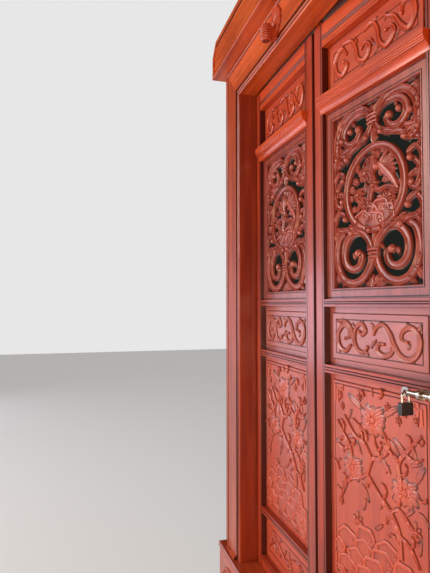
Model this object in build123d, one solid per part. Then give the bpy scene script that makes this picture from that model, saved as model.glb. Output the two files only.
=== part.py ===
from build123d import *
import math
import os

# A four-leaf carved timber door in its own frame: a threshold, two jambs, a mitred
# architrave and a shouldered head beam.  X runs along the opening, Y into the building
# and Z up.  The origin is the middle of the threshold's underside, in the plane of the
# closed leaves' front faces.  All sizes are in millimetres.

# Leaves, with their rails and the openings for panels between them, from the foot up
leaf_width = 600.0
leaf_thickness = 40.0
leaf_gap = 3.0
foot_clearance = 4.0
stile_width = 62.5
rest_angles = (0.0, 6.8, 12.0, 0.0)
bottom_rail_height = 57.0
bottom_panel_height = 197.0
low_rail_height = 27.0
tall_panel_height = 704.0
lock_rail_height = 28.0
middle_panel_height = 204.0
upper_rail_height = 26.0
pierced_panel_height = 667.0
ledge_rail_height = 58.0
top_panel_height = 189.0
top_rail_height = 86.0

# Grooves in stiles and rails, and the panels in them
groove_front = 25.0
panel_thickness = 10.0
groove_depth = 8.0
groove_play = 0.4
field_margin = 24.0
field_rise = 6.0
carving_margin = 20.0
carving_rise = 6.0
pierced_border = 38.0
pierced_front = 15.0
pierced_set_back = 3.0

# Carving strokes on the panels
scroll_width = 14.0
vine_width = 11.0
branch_widths = (17.0, 11.0, 6.0)
flower_radius = 58.0
bud_radius = 26.0
ring_height_share = 0.528
ring_sides = 16
ball_sides = 5

# Mouldings on the leaves
quirk_width = 3.0
quirk_depth = 2.5
bead_width = 8.0
reed_width = 6.0
reed_bow = 1.8
reed_step = 2.0
ledge_projection = 22.0
ledge_lap = 12.0
ledge_band = 15.0
ledge_reeds = 3
ledge_hollow = 3.5
top_rail_flat = 26.0
top_rail_reeds = 2

# Pivots: round tenons at the heel of each leaf, in bored sockets
pivot_radius = 14.0
pivot_play = 0.7
pivot_seat_gap = 0.3
foot_socket_depth = 30.0
head_tenon_length = 26.0
head_socket_depth = 62.0

# Frame
threshold_height = 215.0
head_gap = 12.0
head_rebate = 14.0
jamb_width = 235.0
frame_back = 62.0
jamb_front = 79.0
nosing_projection = 118.0
nosing_height = 26.0
nosing_reeds = 2
nosing_bow = 3.0
apron_thickness = 22.0
apron_front = 115.0
apron_rise = 5.0
apron_margin = 20.0
apron_end_margin = 60.0

# Architrave
casing_width = 165.0
casing_thickness = 14.0
casing_reed_width = 13.5
casing_reed_bow = 3.0
casing_reed_height = 5.0
casing_reed_step = 1.5
casing_bead_width = 13.0
casing_bead_bow = 4.0
foot_block_height = 20.0
foot_block_depth = 14.0

# Head beam
beam_projection = 155.0
beam_height = 176.0
beam_border = 26.0
beam_field_depth = 5.0
beam_shoulder = 62.0
beam_reed_width = 5.0
beam_reed_bow = 1.5

# Carved bosses on the architrave's head
boss_from_reveal = 476.0
fan_radius = 60.0
fan_thickness = 11.0
fan_lobes = 9
fan_lobe_depth = 6.0
tenon_side = 24.0
tenon_length = 70.0
tenon_play = 0.4
curl_drop = 50.0
curl_radius = 25.0
curl_height = 70.0
curl_ribs = 5
curl_rib_depth = 3.0
curl_neck_length = 30.0
curl_neck_width = 34.0
curl_neck_height = 44.0

# Bolt, keeper and padlock at the meeting stiles
bolt_above_lock_rail = 5.0
bolt_axis_out = 44.0
bolt_radius = 7.0
bolt_play = 0.5
bolt_travel = 32.0
bolt_stop_gap = 1.5
bolt_end_inset = 4.0
plate_width = 52.0
plate_height = 50.0
plate_thickness = 3.0
plate_end_inset = 5.0
guide_thickness = 9.0
guide_radius = 15.0
guide_foot_height = 18.0
keeper_plate_width = 30.0
keeper_guide_inset = 9.0
lug_length = 30.0
lug_height = 26.0
lug_thickness = 6.0
eye_radius = 5.5
padlock_width = 40.0
padlock_height = 34.0
padlock_thickness = 15.0
padlock_corner = 4.0
shackle_radius = 3.5
shackle_centres = 24.0
shackle_legs = 16.0
shackle_in_body = 14.0
shackle_play = 0.3


def rail_above(rail_below, panel_height, rail_height):
    """A rail's foot and head over the threshold, above the panel that stands on the rail below."""
    foot = rail_below[1] + panel_height
    return foot, foot + rail_height


bottom_rail = (foot_clearance, bottom_rail_height)
low_rail = rail_above(bottom_rail, bottom_panel_height, low_rail_height)
lock_rail = rail_above(low_rail, tall_panel_height, lock_rail_height)
upper_rail = rail_above(lock_rail, middle_panel_height, upper_rail_height)
ledge_rail = rail_above(upper_rail, pierced_panel_height, ledge_rail_height)
top_rail_span = rail_above(ledge_rail, top_panel_height, top_rail_height)
opening_width = 4 * leaf_width + 5 * leaf_gap
half_opening = opening_width / 2
half_frame = half_opening + jamb_width
leaf_foot = threshold_height + foot_clearance
leaf_top = threshold_height + top_rail_span[1]
soffit = leaf_top + head_gap
head_top = soffit + casing_width
frame_top = head_top + beam_height
heel_radius = leaf_thickness / 2
span_left = stile_width
span_right = leaf_width - stile_width
span_middle = (span_left + span_right) / 2
half_span = (span_right - span_left) / 2
groove_back = groove_front + panel_thickness
panel_face = groove_front + groove_play / 2
panel_back = groove_back - groove_play / 2
tongue = groove_depth - groove_play
casing_front = jamb_front + casing_thickness
plate_right = leaf_width - plate_end_inset
plate_left = plate_right - plate_width
bolt_z = threshold_height + lock_rail[0] + bolt_above_lock_rail
lug_right = plate_left - bolt_travel - bolt_stop_gap
eye_x = lug_right - lug_length + lug_height / 2
shackle_bend = shackle_centres / 2
shackle_inside = shackle_bend - shackle_radius
arch_sag = shackle_inside - math.sqrt(shackle_inside ** 2 - (lug_thickness / 2) ** 2)
arch_z = bolt_z - eye_radius + shackle_play + arch_sag - shackle_inside
padlock_top = arch_z - shackle_legs

from_foot = (Align.CENTER, Align.CENTER, Align.MIN)
cutter_overrun = 1.0


def board(x_span, y_span, z_span):
    """A square-edged board between two values along each axis."""
    size = [b - a for a, b in (x_span, y_span, z_span)]
    middle = [(a + b) / 2 for a, b in (x_span, y_span, z_span)]
    return Pos(*middle) * Box(*size)


def rod(x, y, z_start, z_end, radius):
    """An upright cylinder between two heights."""
    return Pos(x, y, z_start) * Cylinder(radius, z_end - z_start, align=from_foot)


def outline(points):
    """A face inside (a, b) points; a third value bows the edge that starts there to the walk's right."""
    edges = []
    for start, end in zip(points, points[1:] + points[:1]):
        bow = start[2] if len(start) > 2 else 0.0
        if bow:
            length = math.dist(start[:2], end[:2])
            across = ((end[1] - start[1]) / length, (start[0] - end[0]) / length)
            middle = tuple((s + e) / 2 + bow * n for s, e, n in zip(start, end, across))
            edges.append(ThreePointArc(start[:2], middle, end[:2]))
        else:
            edges.append(Line(start[:2], end[:2]))
    return make_face(Wire(edges))


def polygon(points):
    """A straight-sided face."""
    return make_face(Polyline(*points, close=True))


def along_x(section, x_start, x_end):
    """Extrudes a section of (y, z) points from one x to another."""
    return extrude(Plane.YZ.offset(x_start) * section, amount=x_end - x_start)


def along_z(section, z_start, z_end):
    """Extrudes a section of (x, y) points from one height to another."""
    return extrude(Plane.XY.offset(z_start) * section, amount=z_end - z_start)


def facing(shape, y_back, thickness):
    """Extrudes a flat shape of (x, z) points from y_back towards the front."""
    return extrude(Plane.XZ.offset(-y_back) * shape, amount=thickness)


# Carving strokes, in the plane of a panel


def stroke(centre_line, widths):
    """A tapering band that follows a line of points, with a width at each point."""
    left, right = [], []
    last = len(centre_line) - 1
    for i, (x, z) in enumerate(centre_line):
        ax, az = centre_line[max(i - 1, 0)]
        bx, bz = centre_line[min(i + 1, last)]
        length = math.hypot(bx - ax, bz - az)
        nx, nz = -(bz - az) / length, (bx - ax) / length
        half = widths[i] / 2
        left.append((x + nx * half, z + nz * half))
        right.append((x - nx * half, z - nz * half))
    return polygon(left + right[::-1])


def tapered(count, start, middle, end):
    """Widths that swell from start to middle and thin again to end."""
    widths = []
    for i in range(count):
        t = 2 * i / (count - 1)
        widths.append(start + (middle - start) * t if t < 1 else middle + (end - middle) * (t - 1))
    return widths


def spiral_point(centre, start_angle, sweep, start_radius, end_radius, part):
    """The point that lies a part of the way along a volute."""
    angle = math.radians(start_angle + sweep * part)
    radius = start_radius + (end_radius - start_radius) * part
    return centre[0] + radius * math.cos(angle), centre[1] + radius * math.sin(angle)


def scroll(centre, start_angle, sweep, start_radius, end_radius, width, count):
    """A volute band whose radius shrinks evenly with its angle, in degrees."""
    line = [spiral_point(centre, start_angle, sweep, start_radius, end_radius, i / (count - 1))
            for i in range(count)]
    return stroke(line, tapered(count, 0.8 * width, width, 0.7 * width))


def scroll_ball(centre, start_angle, sweep, start_radius, end_radius, width):
    """The ball that ends a volute."""
    end = spiral_point(centre, start_angle, sweep, start_radius, end_radius, 1.0)
    return Pos(*end) * RegularPolygon(0.75 * width, ball_sides)


def leaf_blade(root, tip, width):
    """A lopsided pointed leaf from its root to its tip."""
    dx, dz = tip[0] - root[0], tip[1] - root[1]
    length = math.hypot(dx, dz)
    nx, nz = -dz / length * width / 2, dx / length * width / 2
    shape = []
    for along, side in ((0.0, 0.0), (0.45, 1.0), (1.0, 0.0), (0.35, -0.9)):
        shape.append((root[0] + dx * along + nx * side, root[1] + dz * along + nz * side))
    return polygon(shape)


def blossom(centre, radius, petals, dent, turn):
    """A flower head whose rim dips between its petals."""
    rim = []
    for i in range(2 * petals):
        angle = math.radians(turn + 180.0 * i / petals)
        reach = radius * (1.0 if i % 2 == 0 else dent)
        rim.append((centre[0] + reach * math.cos(angle), centre[1] + reach * math.sin(angle)))
    return polygon(rim)


def scalloped(centre, half_width, height, lobes):
    """A rock whose top edge is a row of lobes, on a flat foot."""
    points = [(centre[0] - half_width, centre[1])]
    for i in range(2 * lobes + 1):
        t = i / (2 * lobes)
        crest = height * (0.55 + 0.45 * math.sin(math.pi * t)) * (1.0 if i % 2 else 0.78)
        points.append((centre[0] - half_width + 2 * half_width * t, centre[1] + crest))
    points.append((centre[0] + half_width, centre[1]))
    return polygon(points)


def both_sides(shapes):
    """The shapes with their mirror image across the panel's middle."""
    return shapes + [mirror(shape, Plane.YZ) for shape in shapes]


def rectangle(half_width, z_foot, z_head):
    """A rectangle about the panel's middle, between two heights."""
    return Pos(0, (z_foot + z_head) / 2) * Rectangle(2 * half_width, z_head - z_foot)


def rectangle_ring(half_width, z_foot, z_head, width):
    """A flat rectangular border of one width."""
    return rectangle(half_width, z_foot, z_head) - rectangle(half_width - width, z_foot + width, z_head - width)


# Carved drawings, each within a half width and between two heights


def scroll_surround(half_width, height, ring_middle, ring_reach):
    """The scrolls, collars and leaves above and below a ring, joined to it and to the border."""
    big = 0.40 * half_width
    band = 0.11 * half_width
    shapes = []
    spine = []
    for side in (1, -1):
        edge = ring_middle + side * height / 2 + (0.5 - ring_height_share) * height
        middle = edge - side * 0.16 * height
        volute = ((0.46 * half_width, middle), 180, -side * 400, big, 0.40 * big, band)
        shapes += [scroll(*volute, 7), scroll_ball(*volute)]
        shapes.append(scroll((0.80 * half_width, middle - side * 0.70 * big), side * 165, -side * 250,
                             0.62 * big, 0.30 * big, 0.9 * band, 4))
        corner = (0.74 * half_width, middle + side * 0.6 * big)
        shapes.append(leaf_blade(corner, (1.03 * half_width, edge - side * 0.01 * height), 2.2 * band))
        foot = ring_middle + side * ring_reach
        top = middle + side * 0.15 * big
        head = edge + side * 0.02 * height
        spine.append(polygon([(-0.12 * half_width, foot), (-0.08 * half_width, top), (0.0, head),
                              (0.08 * half_width, top), (0.12 * half_width, foot)]))
    shapes.append(leaf_blade((0.62 * half_width, ring_middle), (1.06 * half_width, ring_middle), 2.6 * band))
    return both_sides(shapes) + spine


def bird_scene(reach):
    """A bird on flowering boughs above rocks, within a circle."""
    shapes = [scalloped((0.08 * reach, -1.0 * reach), 0.52 * reach, 0.52 * reach, 2)]
    boughs = (
        ((0.0, -0.6), (-0.20, -0.30), (-0.02, 0.05), (0.05, 1.02)),
        ((-0.18, -0.30), (-0.60, -0.10), (-1.02, 0.16)),
        ((0.0, -0.05), (0.45, -0.16), (1.02, -0.12)),
    )
    for bough in boughs:
        points = [(reach * x, reach * z) for x, z in bough]
        shapes.append(stroke(points, tapered(len(points), 0.16 * reach, 0.12 * reach, 0.09 * reach)))
    for x, z, radius, turn in ((-0.30, 0.58, 0.30, 10), (-0.60, -0.04, 0.26, 40), (0.62, -0.18, 0.26, 0)):
        shapes.append(blossom((reach * x, reach * z), reach * radius, 3, 0.55, turn))
    stalk = [(-0.30 * reach, 0.58 * reach), (0.0, 0.22 * reach)]
    shapes.append(stroke(stalk, [0.09 * reach, 0.09 * reach]))
    body = ((0.66, 0.0), (0.20, 0.66), (-0.04, 0.50), (0.20, 0.16))
    wing = ((0.22, 0.34), (0.50, 0.56), (0.92, 0.50), (0.42, 0.18))
    for form in (body, wing):
        shapes.append(polygon([(reach * x, reach * z) for x, z in form]))
    return shapes


def pierced_carving(half_width, z_foot, z_head):
    """Scrolls round a ring that holds a bird among branches, joined to the panel's border."""
    height = z_head - z_foot
    ring_middle = z_foot + ring_height_share * height
    ring_radius = 0.70 * half_width
    ring_width = 0.12 * half_width
    ring_overlap = ring_width / 2
    centre = Pos(0, ring_middle)
    ring = RegularPolygon(ring_radius, ring_sides) - RegularPolygon(ring_radius - ring_width, ring_sides)
    surround = Sketch() + scroll_surround(half_width, height, ring_middle, ring_radius - ring_overlap)
    surround -= centre * RegularPolygon(ring_radius - ring_overlap, ring_sides)
    scene = bird_scene(ring_radius - ring_overlap - 0.1 * ring_width)
    return surround + centre * ring + [centre * shape for shape in scene]


def tall_relief(half_width, z_foot, z_head):
    """Flowering branches that rise from rocks."""
    height = z_head - z_foot

    def place(x, z):
        return (x * half_width, z_foot + z * height)

    shapes = [scalloped(place(0.30, 0.0), 0.68 * half_width, 0.29 * height, 3),
              scalloped(place(-0.55, 0.0), 0.36 * half_width, 0.18 * height, 2)]
    branches = (
        ((0.42, 0.26), (0.28, 0.38), (-0.22, 0.48), (-0.86, 0.80)),
        ((-0.30, 0.50), (0.08, 0.65), (-0.12, 0.80), (0.0, 0.94)),
        ((0.28, 0.38), (0.62, 0.50), (0.94, 0.78)),
    )
    for branch in branches:
        points = [place(*point) for point in branch]
        shapes.append(stroke(points, tapered(len(points), *branch_widths)))
    for x, z, turn in ((-0.06, 0.84, 12), (-0.50, 0.59, 40), (0.56, 0.58, 0)):
        shapes.append(blossom(place(x, z), flower_radius, 4, 0.5, turn))
    for x, z in ((0.80, 0.42), (-0.44, 0.30)):
        shapes.append(blossom(place(x, z), bud_radius, 2, 0.5, 60))
    return Sketch() + shapes


def scroll_relief(half_width, z_foot, z_head):
    """A pair of facing scrolls beside a running scroll with a leaf."""
    height = z_head - z_foot
    middle = (z_foot + z_head) / 2
    big = 0.40 * height
    running = [(0.0, middle + 0.32 * height), (0.30 * half_width, middle),
               (0.50 * half_width, middle - 0.36 * height)]
    shapes = [scroll((-0.68 * half_width, middle), 60, 300, big, 0.4 * big, scroll_width, 6),
              scroll((-0.22 * half_width, middle), 130, 210, 0.85 * big, 0.5 * big, scroll_width, 4),
              scroll((0.66 * half_width, middle), 190, 270, big, 0.4 * big, scroll_width, 5),
              stroke(running, tapered(3, 0.7 * scroll_width, 1.4 * scroll_width, 0.8 * scroll_width)),
              leaf_blade((0.28 * half_width, middle), (0.02 * half_width, middle - 0.44 * height),
                         1.5 * scroll_width)]
    return Sketch() + shapes


def vine_relief(half_width, z_foot, z_head, waves=2, leaves=False):
    """A running vine with a scroll, and if wanted a leaf, in each bend."""
    height = z_head - z_foot
    middle = (z_foot + z_head) / 2
    half_wave = half_width / waves
    bends = 2 * waves
    line = []
    for i in range(2 * bends + 1):
        line.append((-half_width + half_wave * i / 2, middle + 0.30 * height * math.sin(math.pi * i / 2)))
    shapes = [stroke(line, [vine_width] * len(line))]
    for i in range(bends):
        side = 1 if i % 2 == 0 else -1
        x = -half_width + half_wave * (i + 0.5)
        shapes.append(scroll((x, middle - side * 0.14 * height), side * 20, side * 230,
                             0.26 * height, 0.14 * height, vine_width, 4))
        if leaves:
            root = (x - 0.3 * half_wave, middle + side * 0.1 * height)
            tip = (x - 0.44 * half_wave, middle + side * 0.46 * height)
            shapes.append(leaf_blade(root, tip, 1.6 * vine_width))
    return Sketch() + shapes


# Members of one leaf, in the leaf's own place: x from its heel, z from the origin


def quirk(edge, inward):
    """(across, depth) points of the V groove that sets off a bead along a member's inner edge."""
    near = edge + inward * bead_width
    return [(near, 0.0), (near + inward * quirk_width / 2, quirk_depth), (near + inward * quirk_width, 0.0)]


def member_points(low, high, groove_low, groove_high, quirked=True):
    """(across, depth) points round a member, with a quirk and a panel groove at each grooved edge."""
    points = [(low, 0.0)]
    if groove_low and quirked:
        points += quirk(low, 1)
    if groove_high and quirked:
        points += quirk(high, -1)[::-1]
    points.append((high, 0.0))
    if groove_high:
        points += [(high, groove_front), (high - groove_depth, groove_front),
                   (high - groove_depth, groove_back), (high, groove_back)]
    points += [(high, leaf_thickness), (low, leaf_thickness)]
    if groove_low:
        points += [(low, groove_back), (low + groove_depth, groove_back),
                   (low + groove_depth, groove_front), (low, groove_front)]
    return points


def hinge_stile():
    """The stile with a round heel that turns on its own tenons."""
    points = member_points(heel_radius, stile_width, False, True)
    points[-1] = (*points[-1], heel_radius)
    body = along_z(outline(points), leaf_foot, leaf_top)
    socket_foot = threshold_height - foot_socket_depth
    foot_tenon = rod(heel_radius, heel_radius, socket_foot + pivot_seat_gap, leaf_foot, pivot_radius)
    tenon_head = soffit + head_rebate + head_tenon_length
    head_tenon = rod(heel_radius, heel_radius, leaf_top, tenon_head, pivot_radius)
    return body + foot_tenon + head_tenon


def meeting_stile():
    """The stile at the leaf's free edge."""
    return along_z(polygon(member_points(span_right, leaf_width, True, False)), leaf_foot, leaf_top)


def rail(z_foot, z_head, groove_below=True, groove_above=True, quirked=True):
    """A rail between the stiles, with a stub tenon in each stile's groove."""
    foot = threshold_height + z_foot
    head = threshold_height + z_head
    points = member_points(foot, head, groove_below, groove_above, quirked)
    section = polygon([(depth, across) for across, depth in points])
    tenon_foot = foot + groove_depth if groove_below else foot
    tenon_head = head - groove_depth if groove_above else head
    tenon = board((span_left - tongue, span_right + tongue), (panel_face, panel_back), (tenon_foot, tenon_head))
    return along_x(section, span_left, span_right) + tenon


def top_rail():
    """The top rail, with reeds along its face."""
    start = threshold_height + top_rail_span[0] + top_rail_flat
    end = start + top_rail_reeds * reed_width
    section = [(0.0, start + i * reed_width, -reed_bow) for i in range(top_rail_reeds)]
    section += [(0.0, end), (quirk_depth, end), (quirk_depth, start)]
    reeds = along_x(outline(section), span_left, span_right)
    return rail(*top_rail_span, groove_above=False) + reeds


def ledge():
    """The moulded ledge rail that stands proud of the leaf and laps its stiles."""
    foot = threshold_height + ledge_rail[0]
    head = threshold_height + ledge_rail[1]
    front = -ledge_projection
    moulding = [(0.0, head), (front, head)]
    z = head - ledge_band
    moulding.append((front, z))
    for i in range(ledge_reeds):
        front += reed_step
        moulding += [(front, z, reed_bow), (front, z - reed_width)]
        z -= reed_width
    moulding += [(front + reed_step, z, -ledge_hollow), (0.0, foot)]
    cap = along_x(outline(moulding), span_left - ledge_lap, span_right + ledge_lap)
    return rail(*ledge_rail, quirked=False) + cap


def panel_board(z_foot, z_head):
    """The flat of a panel, with its edges in the grooves around it."""
    return board((span_left - tongue, span_right + tongue), (panel_face, panel_back),
                 (threshold_height + z_foot - tongue, threshold_height + z_head + tongue))


def relief_panel(z_foot, z_head, drawing):
    """A panel with a raised field and a drawing carved in relief on it."""
    foot = threshold_height + z_foot + field_margin
    head = threshold_height + z_head - field_margin
    half_field = half_span - field_margin
    field = rectangle(half_field, foot, head)
    carving = drawing(half_field - carving_margin, foot + carving_margin, head - carving_margin)
    raised = facing(field, panel_face, field_rise) + facing(carving, panel_face - field_rise, carving_rise)
    return panel_board(z_foot, z_head) + Pos(span_middle, 0, 0) * raised


def pierced_panel():
    """The open-work panel: a deep border that holds carving cut right through."""
    foot = threshold_height + upper_rail[1]
    head = threshold_height + ledge_rail[0]
    edge = rectangle_ring(half_span + tongue, foot - tongue, head + tongue, pierced_border + tongue)
    border = rectangle_ring(half_span, foot, head, pierced_border)
    inner_half = half_span - pierced_border
    carving = pierced_carving(inner_half, foot + pierced_border, head - pierced_border)
    seat_margin = pierced_border / 2
    seat = rectangle(half_span - seat_margin, foot + seat_margin, head - seat_margin)
    carving_front = pierced_front + pierced_set_back
    return Pos(span_middle, 0, 0) * (facing(edge, panel_back, panel_back - panel_face)
                                     + facing(border, panel_face, panel_face - pierced_front)
                                     + facing(carving & seat, panel_back, panel_back - carving_front))


def left_edge(index):
    """The x of a closed leaf's left edge."""
    return -half_opening + leaf_gap + index * (leaf_width + leaf_gap)


def place_leaf(shape, index):
    """Sets a leaf's member in its place: leaves 3 and 4 mirror 1 and 2, and turn on the right."""
    heel = Pos(heel_radius, heel_radius, 0)
    turn = heel * Rot(0, 0, rest_angles[index]) * heel.inverse()
    if index < 2:
        return Pos(left_edge(index), 0, 0) * turn * shape
    return Pos(left_edge(index) + leaf_width, 0, 0) * mirror(turn * shape, Plane.YZ)


# Frame


def pivot_x(index):
    """The x of a leaf's pivot."""
    return left_edge(index) + (heel_radius if index < 2 else leaf_width - heel_radius)


def threshold_beam():
    """The sill timber with a reeded nosing and the four foot sockets."""
    front = -nosing_projection
    back = -apron_front + apron_thickness
    reed = nosing_height / nosing_reeds
    section = [(frame_back, 0.0), (frame_back, threshold_height)]
    for i in range(nosing_reeds):
        section.append((front, threshold_height - i * reed, nosing_bow))
    under_nosing = threshold_height - nosing_height
    section += [(front, under_nosing), (back, under_nosing), (back, 0.0)]
    socket_foot = threshold_height - foot_socket_depth
    sockets = [rod(pivot_x(i), heel_radius, socket_foot, threshold_height + cutter_overrun,
                   pivot_radius + pivot_play) for i in range(4)]
    return along_x(outline(section), -half_frame, half_frame) - sockets


def apron_board():
    """The carved board on the threshold's front."""
    head = threshold_height - nosing_height
    plain = board((-half_frame, half_frame), (-apron_front, -apron_front + apron_thickness), (0.0, head))
    drawing = vine_relief(half_frame - apron_end_margin, apron_margin, head - apron_margin, 4, True)
    return plain + facing(drawing, -apron_front, apron_rise)


def jamb(side):
    """A jamb post beside the opening."""
    ends = sorted((side * half_opening, side * half_frame))
    return board(ends, (-jamb_front, frame_back), (threshold_height, soffit))


def casing_face():
    """The architrave's section: a from the opening, b off the post."""
    reeds_end = 2 * casing_reed_width
    step = casing_reed_height + casing_reed_step
    bead_start = casing_width - casing_bead_width
    return outline([
        (0.0, 0.0), (0.0, casing_reed_height, -casing_reed_bow), (casing_reed_width, casing_reed_height),
        (casing_reed_width, step, -casing_reed_bow), (reeds_end, step), (reeds_end, casing_thickness),
        (bead_start - quirk_width, casing_thickness),
        (bead_start - quirk_width, casing_thickness - quirk_depth),
        (bead_start, casing_thickness - quirk_depth), (bead_start, casing_thickness, -casing_bead_bow),
        (casing_width, casing_thickness), (casing_width, 0.0)])


def mitre(side):
    """The plane that cuts the architrave's corner."""
    return Plane(origin=(side * half_opening, 0, soffit), z_dir=(-side, 0, 1))


def casing_leg(side):
    """An upright of the architrave, mitred at its head and with a bevelled block at its foot."""
    inner_corner = (side * half_opening, -jamb_front, threshold_height)
    at_foot = Plane(origin=inner_corner, x_dir=(side, 0, 0), z_dir=(0, 0, -side))
    leg = extrude(at_foot * casing_face(), amount=head_top - threshold_height, dir=(0, 0, 1))
    block_front = -casing_front - foot_block_depth
    wedge = polygon([(-casing_front, threshold_height), (block_front, threshold_height),
                     (block_front, threshold_height + foot_block_height / 2),
                     (-casing_front, threshold_height + foot_block_height)])
    ends = sorted((side * (half_opening + 2 * casing_reed_width),
                   side * (half_opening + casing_width - casing_bead_width - quirk_width)))
    return split(leg, bisect_by=mitre(side), keep=Keep.BOTTOM) + along_x(wedge, *ends)


def casing_head():
    """The top of the architrave, mitred to both uprights and bored for the bosses."""
    half = half_opening + casing_width
    at_end = Plane(origin=(-half, -jamb_front, soffit), x_dir=(0, 0, 1), z_dir=(1, 0, 0))
    bar = extrude(at_end * casing_face(), amount=2 * half)
    for side in (-1, 1):
        bar = split(bar, bisect_by=mitre(side), keep=Keep.TOP)
    return bar - [boss_hole(x, z) for x, z in boss_places()]


def head_rail():
    """The head timber behind the architrave, rebated for the leaves and bored for their pivots."""
    section = [(-jamb_front, soffit), (0.0, soffit), (0.0, soffit + head_rebate),
               (frame_back, soffit + head_rebate), (frame_back, head_top), (-jamb_front, head_top)]
    bar = along_x(polygon(section), -half_opening, half_opening)
    for side in (-1, 1):
        ends = sorted((side * half_opening, side * half_frame))
        bar += board(ends, (-jamb_front, frame_back), (soffit, head_top))
    rebate_top = soffit + head_rebate
    bores = [rod(pivot_x(i), heel_radius, rebate_top - cutter_overrun, rebate_top + head_socket_depth,
                 pivot_radius + pivot_play) for i in range(4)]
    return bar - bores - [boss_hole(x, z) for x, z in boss_places()]


def head_beam():
    """The beam over the architrave: a sunk field in a raised border, with shouldered upper corners."""
    front = -beam_projection
    section = [(frame_back, head_top), (frame_back, frame_top), (front, frame_top),
               (front, head_top + 2 * beam_reed_width, beam_reed_bow),
               (front, head_top + beam_reed_width, beam_reed_bow), (front, head_top)]
    beam = along_x(outline(section), -half_frame, half_frame)

    def shouldered(inset):
        half = half_frame - inset
        top = frame_top - inset
        cut = beam_shoulder - inset * (2 - math.sqrt(2))
        return polygon([(-half, head_top + inset), (half, head_top + inset), (half, top - cut),
                        (half - cut, top), (-half + cut, top), (-half, top - cut)])

    beam &= facing(shouldered(0.0), frame_back, frame_back + beam_projection + 2 * beam_reed_bow)
    return beam - facing(shouldered(beam_border), front + beam_field_depth, 2 * beam_field_depth)


# Bosses


def boss_places():
    """The two bosses' x and z on the head."""
    flat_start = 2 * casing_reed_width
    z = soffit + (flat_start + casing_width - casing_bead_width) / 2
    return [(side * (half_opening - boss_from_reveal), z) for side in (-1, 1)]


def boss_hole(x, z):
    """The mortise for a boss's tenon, from the architrave's face inwards."""
    return square_peg(x, z, tenon_side / 2 + tenon_play, tenon_length)


def square_peg(x, z, half_side, length):
    """A square bar from the architrave's face inwards."""
    return board((x - half_side, x + half_side), (-casing_front, -casing_front + length),
                 (z - half_side, z + half_side))


def boss(x, z):
    """A scalloped leaf against the architrave, with a ribbed curl before it and a square tenon behind."""
    rim = []
    for i in range(2 * fan_lobes):
        angle = math.pi * i / fan_lobes
        reach = fan_radius - (fan_lobe_depth if i % 2 else 0.0)
        rim.append((reach * math.cos(angle), reach * math.sin(angle)))
    fan = Pos(x, 0, z) * facing(polygon(rim), -casing_front, fan_thickness)
    tenon = square_peg(x, z, tenon_side / 2, tenon_length - tenon_play)
    rib = curl_height / curl_ribs
    profile = [(0.0, -curl_height / 2)]
    for i in range(2 * curl_ribs + 1):
        height = -curl_height / 2 + rib * i / 2
        swell = curl_radius * math.sqrt(1.0 - (1.7 * height / curl_height) ** 2)
        profile.append((swell - (0.0 if i % 2 else curl_rib_depth), height))
    profile.append((0.0, curl_height / 2))
    fan_face = -casing_front - fan_thickness
    curl_y = fan_face - curl_neck_length
    curl_z = z - curl_drop
    half_round = revolve(Plane.XZ * polygon(profile), Axis.Z, revolution_arc=180)
    curl = Pos(x, curl_y, curl_z) * Rot(0, 0, 180) * half_round
    neck = board((x - curl_neck_width / 2, x + curl_neck_width / 2), (curl_y, fan_face),
                 (curl_z - curl_neck_height / 2, curl_z + curl_neck_height / 2))
    return fan + tenon + curl + neck


# Bolt, keeper and padlock, in the closed leaf's place


def bar_along_x(x_start, x_end, radius):
    """A cylinder on the bolt's axis."""
    on_axis = Pos(x_start, -bolt_axis_out, bolt_z) * Rot(0, 90, 0)
    return on_axis * Cylinder(radius, x_end - x_start, align=from_foot)


def guide(x_start):
    """A ring on a foot that the bolt slides through."""
    end = x_start + guide_thickness
    foot = board((x_start, end), (-bolt_axis_out, -plate_thickness),
                 (bolt_z - guide_foot_height / 2, bolt_z + guide_foot_height / 2))
    bore = bar_along_x(x_start - cutter_overrun, end + cutter_overrun, bolt_radius + bolt_play)
    return bar_along_x(x_start, end, guide_radius) + foot - bore


def mounting_plate(x_start, x_end):
    """A flat plate on a stile."""
    return board((x_start, x_end), (-plate_thickness, 0.0),
                 (bolt_z - plate_height / 2, bolt_z + plate_height / 2))


def bolt_plate():
    """The bolt's plate with its two guides."""
    return mounting_plate(plate_left, plate_right) + guide(plate_left) + guide(plate_right - guide_thickness)


def keeper_plate():
    """The keeper on the facing leaf, with one guide near the leaf's edge."""
    end = leaf_width - bolt_end_inset
    return mounting_plate(end - keeper_plate_width, end) + guide(end - keeper_guide_inset - guide_thickness)


def bolt_bar():
    """The round bar, flattened at one end into a lug with an eye."""
    bar = bar_along_x(lug_right - lug_height / 4, leaf_width - bolt_end_inset, bolt_radius)
    lug = Pos(lug_right - lug_length / 2, -bolt_axis_out, bolt_z) * Rot(90, 0, 0) * extrude(
        SlotOverall(lug_length, lug_height), amount=lug_thickness / 2, both=True)
    eye = Pos(eye_x, -bolt_axis_out, bolt_z) * Rot(90, 0, 0) * Cylinder(eye_radius, 2 * lug_thickness)
    return bar + lug - eye


def shackle():
    """The bent bar that hangs in the eye, its legs in the padlock's case."""
    leg_foot = padlock_top - shackle_in_body
    front = -bolt_axis_out - shackle_bend
    back = -bolt_axis_out + shackle_bend
    path = Wire([Line((front, leg_foot), (front, arch_z)),
                 ThreePointArc((front, arch_z), (-bolt_axis_out, arch_z + shackle_bend), (back, arch_z)),
                 Line((back, arch_z), (back, leg_foot))])
    return sweep(Pos(eye_x, front, leg_foot) * Circle(shackle_radius), path=Plane.YZ.offset(eye_x) * path)


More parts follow.
